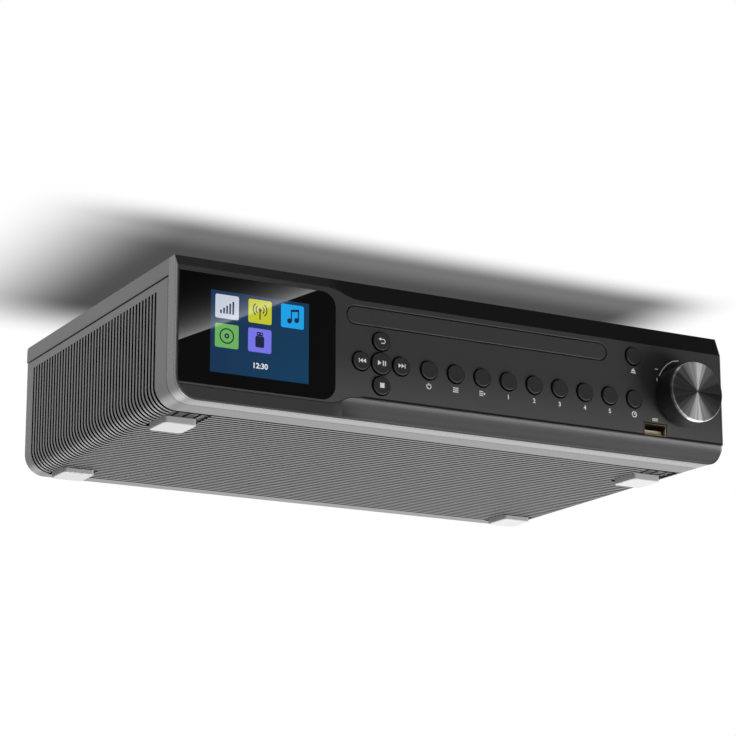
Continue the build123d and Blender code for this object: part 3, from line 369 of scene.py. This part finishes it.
def ribbed_casing():
    """Silver-grey spray on the ribs, with painted shade: black down in the grooves, on their walls, at the
    seam and at the bezel's joint.
    """
    mat = casing_paint("casing_ribs", (0.155, 0.155, 0.158), 0.32)
    tree, shader, painted = parts_of(mat)
    place = object_axes(tree)
    # Painted shade: black wherever the surface lies below the casing's outline, down in the grooves
    groove_shade = ramp(tree, use_group(tree, OUTLINE).outputs["Depth"], 0.1, 0.3)
    # Painted shade in the gaps at the bezel's joint and at the seam
    joint = span(tree, place, "Y", BEZEL_DEPTH + 0.9, BEZEL_DEPTH + 0.6)
    seam = span(tree, place, "Z", SEAM - 1.1, SEAM - 0.9)
    # Painted shade: the groove walls, which face forward or back, are black
    across = math_node(tree, "GREATER_THAN", math_node(tree, "ABSOLUTE", normal_axes(tree)["Y"]), 0.7)
    grooved = math_node(tree, "LESS_THAN", place["Y"], at(0, LAST_GROOVE, 0).y)
    walls = math_node(tree, "MULTIPLY", across, grooved)
    inner = math_node(tree, "MAXIMUM", groove_shade, walls)
    dark = math_node(tree, "MAXIMUM", inner, math_node(tree, "MAXIMUM", joint, seam))
    tree.links.new(mix_colour(tree, dark, painted, PAINTED_SHADE_BLACK), shader.inputs["Base Color"])
    return mat


def seamed_cover():
    """The casing's paint on the lid, with painted shade: black at its lower edge, in the seam's gap."""
    mat = casing_paint("cover_top", (0.145, 0.145, 0.148), 0.34)
    tree, shader, painted = parts_of(mat)
    # Painted shade in the seam's gap along the lid's lower edge
    seam = span(tree, object_axes(tree), "Z", SEAM + 0.5, SEAM + 0.3)
    tree.links.new(mix_colour(tree, seam, painted, PAINTED_SHADE_BLACK), shader.inputs["Base Color"])
    return mat


def smooth_bezel():
    """Satin silver band round a dark strip and its cove, with painted light and shade: lighter underside,
    dark split line near its front edge, graded cove, black line at the strip's top.
    """
    mat = moulded("bezel_satin", (0.2, 0.2, 0.203), 0.27, grains=5.0, depth=0.1, patch=0.03, specular=0.6,
                  metallic=0.35)
    tree, shader, silver = parts_of(mat)
    place = object_axes(tree)
    facing = normal_axes(tree)
    # Painted shade: a dark line for the fine split groove near the front edge, on faces that don't face
    # forward
    off = math_node(tree, "ABSOLUTE", math_node(tree, "SUBTRACT", place["Y"], at(0, SPLIT_LINE, 0).y))
    line = math_node(tree, "MULTIPLY", math_node(tree, "LESS_THAN", off, 0.0002),
                     math_node(tree, "GREATER_THAN", facing["Y"], -0.3))
    # Painted light: faces that look down are lighter, for the light from below
    under = mix_colour(tree, ramp(tree, facing["Z"], -0.6, -0.9), silver, (0.27, 0.27, 0.274))
    outer = mix_colour(tree, line, under, (0.02, 0.02, 0.02))
    strip = ramp(tree, use_group(tree, OUTLINE, Shift=0.25).outputs["Depth"], 0.7, 0.95)
    # Painted shade and light: the cove is darker towards its top and lighter towards its bottom
    cove = mix_colour(tree, span(tree, place, "Z", 8, 2), (0.1, 0.1, 0.102), (0.25, 0.25, 0.254))
    # Painted shade: black along the strip's top edge, in the gap under the panel
    cove = mix_colour(tree, span(tree, place, "Z", STRIP_TOP - 0.6, STRIP_TOP - 0.4), cove, PAINTED_SHADE_BLACK)
    inner = mix_colour(tree, span(tree, place, "X", -74, -52), (0.065, 0.065, 0.0665), cove)
    tree.links.new(mix_colour(tree, strip, outer, inner), shader.inputs["Base Color"])
    grain = shader.inputs["Roughness"].links[0].from_socket
    rougher = math_node(tree, "ADD", grain, math_node(tree, "MULTIPLY", strip, 0.2))
    tree.links.new(rougher, shader.inputs["Roughness"])
    return mat


def dark_panel():
    """Satin dark plastic of the front, with painted shade: black on the lip, in the gaps and the mouths of
    the holes; and painted light, lighter towards the bottom.
    """
    mat = moulded("panel_satin", (0.055, 0.055, 0.056), 0.4, grains=2.2, depth=0.3, patch=0.03)
    tree, shader, satin = parts_of(mat)
    place = object_axes(tree)
    # Painted shade: black behind the front face, in the gaps and the mouths of the holes
    below = span(tree, place, "Z", LIP_FOOT + 0.6, LIP_FOOT)
    gap = math_node(tree, "MULTIPLY", span(tree, place, "Y", 0.3, 0.6), below)
    # Painted shade: the upturned lip above the front is black
    tilted = ramp(tree, normal_axes(tree)["Z"], 0.1, 0.25)
    lip = math_node(tree, "MULTIPLY", tilted, math_node(tree, "SUBTRACT", 1.0, below))
    # Painted light: lighter towards the bottom, where the light from below falls
    face = mix_colour(tree, span(tree, place, "Z", 34, 10), satin, (0.1, 0.1, 0.102))
    front = mix_colour(tree, lip, face, PAINTED_SHADE_BLACK)
    # Painted shade: black along the lower edge on the right, in the gap above the strip
    edge = math_node(tree, "MULTIPLY", span(tree, place, "Z", STRIP_TOP + 1.1, STRIP_TOP + 0.9),
                     span(tree, place, "X", -58, -54))
    black = math_node(tree, "MAXIMUM", gap, edge)
    tree.links.new(mix_colour(tree, black, front, (0.004, 0.004, 0.004)), shader.inputs["Base Color"])
    return mat


def window_gloss():
    """Polished black window, with a faint haze where it was wiped."""
    mat, tree, shader = new_material("window_gloss")
    haze = node(tree, "ShaderNodeTexNoise", Scale=26.0, Detail=3.0)
    tree.links.new(object_point(tree), haze.inputs["Vector"])
    tree.links.new(scaled(tree, haze.outputs["Fac"], 0.012, 0.004), shader.inputs["Roughness"])
    shade = mix_colour(tree, haze.outputs["Fac"], (0.003, 0.003, 0.0032), (0.005, 0.005, 0.0054))
    tree.links.new(shade, shader.inputs["Base Color"])
    return mat


def key_plastic():
    """Satin keys, with painted shade: black on the sides below their bevel."""
    mat = moulded("key_satin", (0.036, 0.036, 0.037), 0.36, grains=5.0, depth=0.15, patch=0.04)
    tree, shader, satin = parts_of(mat)
    # Painted shade: the key's sides, behind its face, are black
    side = span(tree, object_axes(tree), "Y", KEY_FACE + 0.5, KEY_FACE + 1.0)
    tree.links.new(mix_colour(tree, side, satin, (0.006, 0.006, 0.006)), shader.inputs["Base Color"])
    return mat


def socket_plating():
    """Brass-coloured plating on the socket's lip, with painted shade: darker down inside."""
    mat = metal("socket_plating", (0.62, 0.5, 0.3), 0.3, brush=(1.0, 1.0, 12.0))
    tree, shader, plated = parts_of(mat)
    # Painted shade: darker further inside the socket
    inside = span(tree, object_axes(tree), "Y", 0.6, 2.6)
    tree.links.new(mix_colour(tree, inside, plated, (0.3, 0.22, 0.14)), shader.inputs["Base Color"])
    return mat


def lit(name, colour):
    """A lit part of the screen, with its cells, as glossy as the window round it."""
    mat, tree, shader = new_material(name)
    cells = node(tree, "ShaderNodeTexBrick", offset=0.0, Scale=6500.0, Mortar_Size=0.06, Brick_Width=1.0,
                 Row_Height=1.0)
    turn = node(tree, "ShaderNodeMapping")
    turn.inputs["Rotation"].default_value = (math.pi / 2, 0.0, 0.0)
    tree.links.new(object_point(tree), turn.inputs["Vector"])
    tree.links.new(turn.outputs[0], cells.inputs["Vector"])
    cells.inputs["Color1"].default_value = (*colour, 1.0)
    cells.inputs["Color2"].default_value = (*[c * 0.94 for c in colour], 1.0)
    cells.inputs["Mortar"].default_value = (*[c * 0.72 for c in colour], 1.0)
    tree.links.new(cells.outputs["Color"], shader.inputs["Emission Color"])
    shader.inputs["Emission Strength"].default_value = 1.0
    shader.inputs["Base Color"].default_value = (0.004, 0.004, 0.005, 1.0)
    shader.inputs["Roughness"].default_value = 0.02
    return mat


def screen_ground():
    """Blue picture behind the tiles, lighter towards its lower right."""
    mat, tree, shader = new_material("screen_ground")
    place = object_axes(tree)
    width, height = SCREEN_SIZE
    left, low = at(SCREEN[0] - width / 2, 0, SCREEN[1] - height / 2).xz
    across = math_node(tree, "DIVIDE", math_node(tree, "SUBTRACT", place["X"], left), width * MM)
    up = math_node(tree, "DIVIDE", math_node(tree, "SUBTRACT", place["Z"], low), height * MM)
    blend = math_node(tree, "MULTIPLY", across, math_node(tree, "SUBTRACT", 1.15, up), clamp=True)
    colour = mix_colour(tree, blend, (0.007, 0.032, 0.085), (0.005, 0.044, 0.103))
    tree.links.new(colour, shader.inputs["Emission Color"])
    shader.inputs["Emission Strength"].default_value = 1.0
    shader.inputs["Base Color"].default_value = (0.004, 0.004, 0.005, 1.0)
    shader.inputs["Roughness"].default_value = 0.02
    return mat


def circuit_board():
    """Green solder mask with pale tracks under it."""
    mat, tree, shader = new_material("circuit_mask")
    tracks = node(tree, "ShaderNodeTexBrick", offset=0.37, Scale=160.0, Mortar_Size=0.03, Brick_Width=0.9,
                  Row_Height=0.32)
    tree.links.new(object_point(tree), tracks.inputs["Vector"])
    tracks.inputs["Color1"].default_value = (0.012, 0.085, 0.035, 1.0)
    tracks.inputs["Color2"].default_value = (0.014, 0.1, 0.042, 1.0)
    tracks.inputs["Mortar"].default_value = (0.03, 0.16, 0.06, 1.0)
    tree.links.new(tracks.outputs["Color"], shader.inputs["Base Color"])
    shader.inputs["Roughness"].default_value = 0.32
    return mat


def glowing_ink(name, colour):
    """Pad-printed marks: slightly uneven matt printing, with a faint painted glow that lifts them a little so
    that they stay readable.
    """
    mat, tree, shader = new_material(name)
    noise = node(tree, "ShaderNodeTexNoise", Scale=2600.0, Detail=2.0)
    tree.links.new(object_point(tree), noise.inputs["Vector"])
    low = tuple(c * 0.86 for c in colour)
    tree.links.new(mix_colour(tree, noise.outputs["Fac"], low, colour), shader.inputs["Base Color"])
    shader.inputs["Roughness"].default_value = 0.55
    # Painted light: the marks glow faintly, though they are no lamp
    shader.inputs["Emission Color"].default_value = (*colour, 1.0)
    shader.inputs["Emission Strength"].default_value = 0.15
    return mat


FINISH = {
    "casing_grey": ribbed_casing(),
    "cover_grey": seamed_cover(),
    "bezel_grey": smooth_bezel(),
    "panel_dark": dark_panel(),
    "window_black": window_gloss(),
    "screen": moulded("screen_glass", (0.01, 0.012, 0.02), 0.08, grains=0.3, depth=0.0, patch=0.01),
    "button_black": key_plastic(),
    "knob_black": moulded("knob_side", (0.006, 0.006, 0.0062), 0.4, grains=5.0, depth=0.12),
    "knob_metal": spun_metal(),
    "socket_brass": socket_plating(),
    "socket_tongue": moulded("socket_tongue", (0.9, 0.82, 0.66), 0.5, grains=5.0),
    "tray_black": moulded("tray_moulding", (0.022, 0.022, 0.023), 0.42, grains=3.0, depth=0.3, dust=0.02),
    "inner_black": moulded("inner_moulding", (0.02, 0.02, 0.021), 0.5, grains=2.5, depth=0.4, dust=0.05),
    "circuit_green": circuit_board(),
    "steel": metal("plated_steel", (0.55, 0.55, 0.56), 0.34),
    "sink_aluminium": metal("sink_extrusion", (0.66, 0.66, 0.67), 0.42, brush=(1.0, 1.0, 30.0)),
    "gear_white": moulded("gear_acetal", (0.7, 0.7, 0.67), 0.4, grains=2.0, depth=0.1),
    "belt_rubber": moulded("belt_rubber", (0.015, 0.015, 0.015), 0.7, grains=4.0),
    "speaker_steel": moulded("speaker_paint", (0.03, 0.03, 0.031), 0.4, grains=3.0, dust=0.04),
    "cone_black": moulded("cone_paper", (0.02, 0.02, 0.021), 0.85, grains=1.5, depth=0.8, sheen=0.1),
    "foot_rubber": moulded("foot_rubber", (0.57, 0.57, 0.567), 0.75, grains=3.0, depth=0.4, specular=0.3),
    "jack_black": moulded("jack_moulding", (0.014, 0.014, 0.014), 0.28, grains=4.0, depth=0.1),
    "insert_brass": metal("insert_brass", (0.66, 0.5, 0.22), 0.32, brush=(1.0, 1.0, 25.0)),
}

slot_of = {row["node"]: row["material_slot"] for row in frame["record"]["subparts"]}
for name, piece in frame["nodes"].items():
    piece.data.materials.clear()
    piece.data.materials.append(FINISH[slot_of[name]])

WHITE_INK_GLOW = glowing_ink("print_white_glow", (0.88, 0.88, 0.88))
SCREEN_COLOURS = {
    "ground": screen_ground(),
    "pale": lit("screen_pale", (0.6, 0.64, 0.75)),
    "yellow": lit("screen_yellow", (0.58, 0.6, 0.03)),
    "blue": lit("screen_blue", (0.012, 0.38, 0.86)),
    "green": lit("screen_green", (0.16, 0.46, 0.12)),
    "violet": lit("screen_violet", (0.2, 0.19, 0.85)),
    "white": lit("screen_white", (0.86, 0.88, 0.9)),
    "dark": lit("screen_dark", (0.012, 0.02, 0.05)),
}


# Flat marks on the front, drawn in mm as outlines of (x, z) points

def rect(x, z, w, h, r=0.0):
    """An upright rectangle about its centre, with round corners if r is given."""
    corners = ((-1, -1, 180), (1, -1, -90), (1, 1, 0), (-1, 1, 90))
    if r <= 0:
        return [(x + cx * w / 2, z + cz * h / 2) for cx, cz, start in corners]
    points = []
    for cx, cz, start in corners[1:] + corners[:1]:
        for k in range(6):
            a = math.radians(start + k * 18)
            points.append((x + cx * (w / 2 - r) + r * math.cos(a), z + cz * (h / 2 - r) + r * math.sin(a)))
    return points


def disc(x, z, r, n=28):
    return [(x + r * math.cos(2 * math.pi * k / n), z + r * math.sin(2 * math.pi * k / n)) for k in range(n)]


def band(points, width):
    """The outline of a stroke of this width along the points."""
    left, right = [], []
    for i, (x, z) in enumerate(points):
        a = points[max(i - 1, 0)]
        b = points[min(i + 1, len(points) - 1)]
        d = Vector((b[0] - a[0], b[1] - a[1])).normalized() * width / 2
        left.append((x - d.y, z + d.x))
        right.append((x + d.y, z - d.x))
    return right + left[::-1]


def arc(x, z, r, start, end, width, n=20):
    """A curved stroke, with angles in degrees anticlockwise from +X."""
    angles = [math.radians(start + (end - start) * k / n) for k in range(n + 1)]
    return band([(x + r * math.cos(a), z + r * math.sin(a)) for a in angles], width)


def triangle(x, z, w, h, turn=0.0):
    """A triangle that points to +X, turned about its middle."""
    c, s = math.cos(math.radians(turn)), math.sin(math.radians(turn))
    corners = ((-w / 2, -h / 2), (w / 2, 0), (-w / 2, h / 2))
    return [(x + px * c - pz * s, z + px * s + pz * c) for px, pz in corners]


def mark(name, mesh, body):
    """The mesh as a visible piece on this body."""
    piece = bpy.data.objects.new(name, mesh)
    bpy.context.scene.collection.objects.link(piece)
    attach(piece, body)


def flat_piece(name, layers, body):
    """One mesh of flat marks. Each layer is (y in mm, material, outlines)."""
    mesh = bpy.data.meshes.new(name)
    build = bmesh.new()
    materials = []
    for y, material, outlines in layers:
        if material not in materials:
            materials.append(material)
        for outline in outlines:
            corners = [build.verts.new(at(x, y, z)) for x, z in outline]
            face = build.faces.new(corners)
            face.normal_update()
            if face.normal.y > 0:
                face.normal_flip()
            face.material_index = materials.index(material)
    bmesh.ops.triangulate(build, faces=[f for f in build.faces if len(f.verts) > 4])
    build.to_mesh(mesh)
    build.free()
    for material in materials:
        mesh.materials.append(material)
    mark(name, mesh, body)


def digits(name, text, x, z, height, y, material, body):
    """Plain digits, centred on (x, z), as a flat mesh in front of y."""
    curve = bpy.data.curves.new(name, "FONT")
    curve.body = text
    curve.size = height * MM / 0.72
    curve.offset = 0.03 * height * MM
    curve.align_x = "CENTER"
    curve.align_y = "CENTER"
    words = bpy.data.objects.new(name + "_curve", curve)
    bpy.context.scene.collection.objects.link(words)
    bpy.context.view_layer.update()
    mesh = bpy.data.meshes.new_from_object(words.evaluated_get(bpy.context.evaluated_depsgraph_get()))
    bpy.data.objects.remove(words)
    xs = [v.co.x for v in mesh.vertices]
    ys = [v.co.y for v in mesh.vertices]
    middle = Vector(((min(xs) + max(xs)) / 2, (min(ys) + max(ys)) / 2, 0))
    upright = Matrix.Rotation(math.pi / 2, 4, "X")
    mesh.transform(Matrix.Translation(at(x, y, z)) @ upright @ Matrix.Translation(-middle))
    mesh.materials.clear()
    mesh.materials.append(material)
    mesh.name = name
    mark(name, mesh, body)


def key_marks():
    """Transport symbols on the cross keys, each on its own key."""
    x, z = CROSS
    arm = CROSS_ARM
    symbols = {
        "play_pause": (x, z, [
            triangle(-1.35, 0, 1.9, 2.5), rect(0.55, 0, 0.55, 2.4), rect(1.65, 0, 0.55, 2.4)]),
        "stop": (x, z - arm, [rect(0, 0, 2.3, 2.3)]),
        "previous": (x - arm, z, [
            triangle(-0.45, 0, 1.6, 2.1, 180), triangle(1.15, 0, 1.6, 2.1, 180), rect(-1.55, 0, 0.4, 2.1)]),
        "next": (x + arm, z, [
            triangle(-1.15, 0, 1.6, 2.1), triangle(0.45, 0, 1.6, 2.1), rect(1.55, 0, 0.4, 2.1)]),
        "return": (x, z + arm, [
            arc(0.55, -0.1, 0.95, -90, 90, 0.42), rect(-0.35, 0.85, 1.8, 0.42), rect(0.0, -1.05, 1.1, 0.42),
            triangle(-1.35, 0.85, 1.1, 1.7, 180)]),
    }
    for name, (cx, cz, shapes) in symbols.items():
        outlines = [[(cx + px, cz + pz) for px, pz in shape] for shape in shapes]
        layer = (KEY_FACE - PRINT_LIFT, WHITE_INK_GLOW, outlines)
        flat_piece(f"mark_{name}", [layer], f"button_{name}")


def panel_marks():
    """Small symbols and figures printed on the panel under the keys."""
    y = -PRINT_LIFT
    keys = [ROW_START + ROW_PITCH * i for i in range(9)]
    mode, menu, program, timer = keys[0], keys[1], keys[2], keys[8]
    under = ROW_Z - 7.6
    bars = (-0.95, 0.0, 0.95)
    shapes = [arc(mode, under, 1.15, 120, 420, 0.45), rect(mode, under + 0.9, 0.45, 1.2)]
    shapes += [rect(menu, under + dz, 3.0, 0.45) for dz in bars]
    shapes += [rect(program - 0.55, under + dz, 2.0, 0.45) for dz in bars]
    shapes += [triangle(program + 1.35, under, 1.0, 1.6)]
    shapes += [arc(timer, under, 1.3, 0, 360, 0.42), rect(timer, under + 0.4, 0.36, 0.9),
               rect(timer + 0.35, under, 0.8, 0.36)]
    x, z = EJECT[0], EJECT[1] - 7.2
    shapes += [triangle(x, z + 0.4, 1.7, 2.8, 90), rect(x, z - 1.05, 2.8, 0.6)]
    x, z = SOCKET[0], SOCKET[1] + 5.0
    plug = [(x - 1.6, z - 0.5), (x + 1.6, z - 0.5), (x + 1.6, z + 0.5), (x - 1.6, z + 0.5)]
    shapes += [band(plug + plug[:1], 0.34), rect(x - 0.6, z, 0.45, 0.45), rect(x + 0.6, z, 0.45, 0.45)]
    x, z = KNOB
    sweep = [(0.3, 19.0), (-3.6, 18.2), (-7.0, 16.1), (-9.6, 13.4), (-11.8, 9.8)]
    shapes += [band([(x + dx, z + dz) for dx, dz in sweep], 0.42)]
    shapes += [rect(x - 13.1, z + 7.8, 0.45, 1.8), rect(x - 13.3, z + 13.1, 1.8, 0.45)]
    flat_piece("panel_symbols", [(y, WHITE_INK_GLOW, shapes)], "casing")
    for i in range(5):
        digits(f"preset_figure_{i + 1}", str(i + 1), keys[3 + i], under, 2.2, y, WHITE_INK_GLOW, "casing")


def screen_picture():
    """The lit picture: five tiles with plain symbols on a blue ground, and the time below."""
    w, h = SCREEN_SIZE
    left, top = SCREEN[0] - w / 2, SCREEN[1] + h / 2
    tone = SCREEN_COLOURS
    tw, th = 11.6, 11.0
    columns = (2.2, 18.5, 34.8)
    rows = (1.6, 15.0)
    places = [(columns[i], rows[0]) for i in range(3)] + [(columns[i], rows[1]) for i in range(2)]
    tile = [(left + x + tw / 2, top - z - th / 2) for x, z in places]
    layers = [(-0.02, tone["ground"], [rect(SCREEN[0], SCREEN[1], w, h)])]
    for (x, z), colour in zip(tile, ("pale", "yellow", "blue", "green", "violet")):
        layers.append((-0.04, tone[colour], [rect(x, z, tw, th, 0.9)]))
    x, z = tile[0]
    layers.append((-0.06, tone["dark"], [rect(x - 3.0 + 1.5 * i, z - 2.4 + 0.55 * i, 0.9, 1.6 + 1.1 * i)
                                         for i in range(5)]))
    x, z = tile[1]
    layers.append((-0.06, tone["dark"], [disc(x, z + 0.9, 0.8), rect(x, z - 1.6, 0.6, 4.2)]
                   + [arc(x, z + 0.9, r, a, a + 100, 0.5) for r in (2.0, 3.4) for a in (-50, 130)]))
    x, z = tile[2]
    layers.append((-0.06, tone["dark"], [disc(x - 1.5, z - 2.2, 1.2), disc(x + 2.1, z - 1.6, 1.2),
                                         rect(x - 0.55, z + 0.3, 0.6, 5.0), rect(x + 3.05, z + 0.9, 0.6, 5.0),
                                         [(x - 0.85, z + 2.0), (x + 3.35, z + 2.6), (x + 3.35, z + 3.7),
                                          (x - 0.85, z + 3.1)]]))
    x, z = tile[3]
    layers.append((-0.06, tone["dark"], [disc(x, z, 3.6)]))
    layers.append((-0.08, tone["green"], [disc(x, z, 3.0)]))
    layers.append((-0.1, tone["dark"], [disc(x, z, 1.2)]))
    layers.append((-0.12, tone["green"], [disc(x, z, 0.5)]))
    x, z = tile[4]
    layers.append((-0.06, tone["dark"], [rect(x, z - 0.6, 4.4, 5.2, 0.7), rect(x, z + 3.0, 3.0, 1.8)]))
    layers.append((-0.08, tone["violet"], [rect(x + dx, z + 3.1, 0.6, 0.6) for dx in (-0.75, 0.75)]))
    flat_piece("screen_picture", layers, "casing")
    digits("screen_time", "12:30", SCREEN[0] + 0.4, top - 32.2, 2.5, -0.06, tone["white"], "casing")


key_marks()
panel_marks()
screen_picture()


# Floor under the feet, the cabinet's underside above the top, and the light

def plane(name, corners, material):
    """One flat face of the stage."""
    mesh = bpy.data.meshes.new(name)
    mesh.from_pydata([Vector(c) for c in corners], [], [tuple(range(len(corners)))])
    mesh.materials.append(material)
    obj = bpy.data.objects.new(name, mesh)
    bpy.context.scene.collection.objects.link(obj)
    return obj


def one_sided(name, colour, glow):
    """A pale surface that only the camera sees, and only from its front, so that it keeps the shadow."""
    mat = bpy.data.materials.new(name)
    mat.use_nodes = True
    tree = mat.node_tree
    tree.nodes.clear()
    link = tree.links.new
    out = node(tree, "ShaderNodeOutputMaterial")
    pale = node(tree, "ShaderNodeBsdfDiffuse")
    pale.inputs["Color"].default_value = (*colour, 1.0)
    lift = node(tree, "ShaderNodeEmission")
    lift.inputs["Strength"].default_value = glow
    both = node(tree, "ShaderNodeAddShader")
    link(pale.outputs[0], both.inputs[0])
    link(lift.outputs[0], both.inputs[1])
    clear = node(tree, "ShaderNodeBsdfTransparent")
    path = node(tree, "ShaderNodeLightPath")
    back = node(tree, "ShaderNodeNewGeometry")
    front = math_node(tree, "SUBTRACT", 1.0, back.outputs["Backfacing"])
    seen = math_node(tree, "MULTIPLY", path.outputs["Is Camera Ray"], front)
    mix = node(tree, "ShaderNodeMixShader")
    link(seen, mix.inputs[0])
    link(clear.outputs[0], mix.inputs[1])
    link(both.outputs[0], mix.inputs[2])
    link(mix.outputs[0], out.inputs["Surface"])
    return mat


def shaded_ceiling():
    """The cabinet's white underside, seen from below, with a painted soft shadow of the radio to its front
    left, darker near its front edge.
    """
    mat = one_sided("cabinet_white", (0.0, 0.0, 0.0), 1.0)
    tree = mat.node_tree
    place = object_axes(tree)
    # Painted shadow: a soft-edged patch of shade over the radio's footprint, moved forward and left
    across = math_node(tree, "MULTIPLY", span(tree, place, "X", -240, -152), span(tree, place, "X", 130, 78))
    along = math_node(tree, "MULTIPLY", span(tree, place, "Y", -62, -28), span(tree, place, "Y", 164, 96))
    shadow = math_node(tree, "MULTIPLY", across, along)
    deep = scaled(tree, span(tree, place, "Y", -26, 0), 0.1, 0.82)
    shade = math_node(tree, "SUBTRACT", 1.0, math_node(tree, "MULTIPLY", shadow, deep))
    lift = next(n for n in tree.nodes if n.type == "EMISSION")
    tree.links.new(shade, lift.inputs["Strength"])
    return mat


reach = 30.0
ceiling_z = cad_high.z + 0.0006
floor_z = cad_low.z - 0.0004
round_up = [(-reach, -reach), (reach, -reach), (reach, reach), (-reach, reach)]
round_down = [(-reach, -reach), (-reach, reach), (reach, reach), (reach, -reach)]
plane("cabinet_underside", [(x, y, ceiling_z) for x, y in round_down], shaded_ceiling())
plane("floor", [(x, y, floor_z) for x, y in round_up], one_sided("floor_white", (0.85, 0.85, 0.85), 0.45))


def area_light(name, place, size, power):
    """A square light that faces the radio's middle."""
    data = bpy.data.lights.new(name, "AREA")
    data.energy = power
    data.size = size
    light = bpy.data.objects.new(name, data)
    light.location = place
    light.rotation_mode = "QUATERNION"
    light.rotation_quaternion = ((cad_low + cad_high) / 2 - Vector(place)).to_track_quat("-Z", "Y")
    bpy.context.scene.collection.objects.link(light)


area_light("under_light", (0.5, 0.3, -1.2), 0.8, 13.0)
area_light("front_light", (1.1, -1.2, -0.9), 0.9, 17.0)
area_light("corner_light", (-0.35, 1.3, -0.85), 0.7, 2.5)
area_light("top_light", (0.5, 0.9, 1.5), 1.2, 6.0)


def softbox_card():
    """A large softbox in front and to the right, seen by gloss alone, brightest along its lower edge."""
    y = -1200.0
    edge = [(140.0, 268.4), (556.0, 464.9)]
    rise = (-330.0, 700.0)
    corners = [at(x, y, z) for x, z in edge] + [at(x + rise[0], y, z + rise[1]) for x, z in edge[::-1]]
    mat = bpy.data.materials.new("softbox")
    mat.use_nodes = True
    tree = mat.node_tree
    tree.nodes.clear()
    out = node(tree, "ShaderNodeOutputMaterial")
    place = object_axes(tree)
    low = at(edge[0][0], y, edge[0][1])
    slope = (edge[1][1] - edge[0][1]) / (edge[1][0] - edge[0][0])
    over = math_node(tree, "SUBTRACT", place["Z"], low.z)
    along = math_node(tree, "MULTIPLY", math_node(tree, "SUBTRACT", place["X"], low.x), slope)
    height = math_node(tree, "SUBTRACT", over, along)
    near = math_node(tree, "EXPONENT", math_node(tree, "MULTIPLY", height, -95.0))
    glow = node(tree, "ShaderNodeEmission")
    tree.links.new(math_node(tree, "MULTIPLY", near, 4.8), glow.inputs["Strength"])
    clear = node(tree, "ShaderNodeBsdfTransparent")
    mix = node(tree, "ShaderNodeMixShader")
    tree.links.new(node(tree, "ShaderNodeLightPath").outputs["Is Glossy Ray"], mix.inputs[0])
    tree.links.new(clear.outputs[0], mix.inputs[1])
    tree.links.new(glow.outputs[0], mix.inputs[2])
    tree.links.new(mix.outputs[0], out.inputs["Surface"])
    plane("softbox_card", corners, mat)


softbox_card()


def studio_world():
    """White all round for the camera; what gloss reflects is dark ahead and to the upper right."""
    world = bpy.data.worlds.new("studio")
    bpy.context.scene.world = world
    world.use_nodes = True
    tree = world.node_tree
    tree.nodes.clear()
    link = tree.links.new
    out = node(tree, "ShaderNodeOutputWorld")
    way = axes_of(tree, tree.nodes.new("ShaderNodeTexCoord").outputs["Generated"])
    ahead = math_node(tree, "MULTIPLY", ramp(tree, way["Y"], -0.15, -0.6), ramp(tree, way["Z"], -0.35, 0.0))
    shaded = math_node(tree, "MULTIPLY", ramp(tree, way["Z"], 0.0, 0.25), ramp(tree, way["X"], -0.2, 0.1))
    dark = math_node(tree, "MAXIMUM", ahead, shaded)
    seen = mix_colour(tree, dark, (0.9, 0.9, 0.9), (0.05, 0.05, 0.05))
    path = node(tree, "ShaderNodeLightPath")
    camera_white = mix_colour(tree, path.outputs["Is Camera Ray"], seen, (1.0, 1.0, 1.0))
    under = ramp(tree, way["Z"], 0.2, -0.6)
    fill = mix_colour(tree, under, (0.05, 0.05, 0.05), (0.45, 0.45, 0.45))
    diffuse = mix_colour(tree, path.outputs["Is Diffuse Ray"], camera_white, fill)
    ground = node(tree, "ShaderNodeBackground")
    link(diffuse, ground.inputs["Color"])
    link(ground.outputs[0], out.inputs["Surface"])


studio_world()

# Camera below the front left corner, as the photograph was taken

camera_data = bpy.data.cameras.new("camera")
camera_data.sensor_width = 36.0
camera_data.lens = 2328.5 / 736 * 36.0
camera_data.shift_y = 0.1
camera = bpy.data.objects.new("camera", camera_data)
camera.location = at(-549.7, -904.8, -244.1)
camera.rotation_euler = (math.radians(90 + 12.806), 0.0, -math.radians(28.783))
bpy.context.scene.collection.objects.link(camera)
bpy.context.scene.camera = camera

bpy.context.scene.view_settings.view_transform = "Standard"
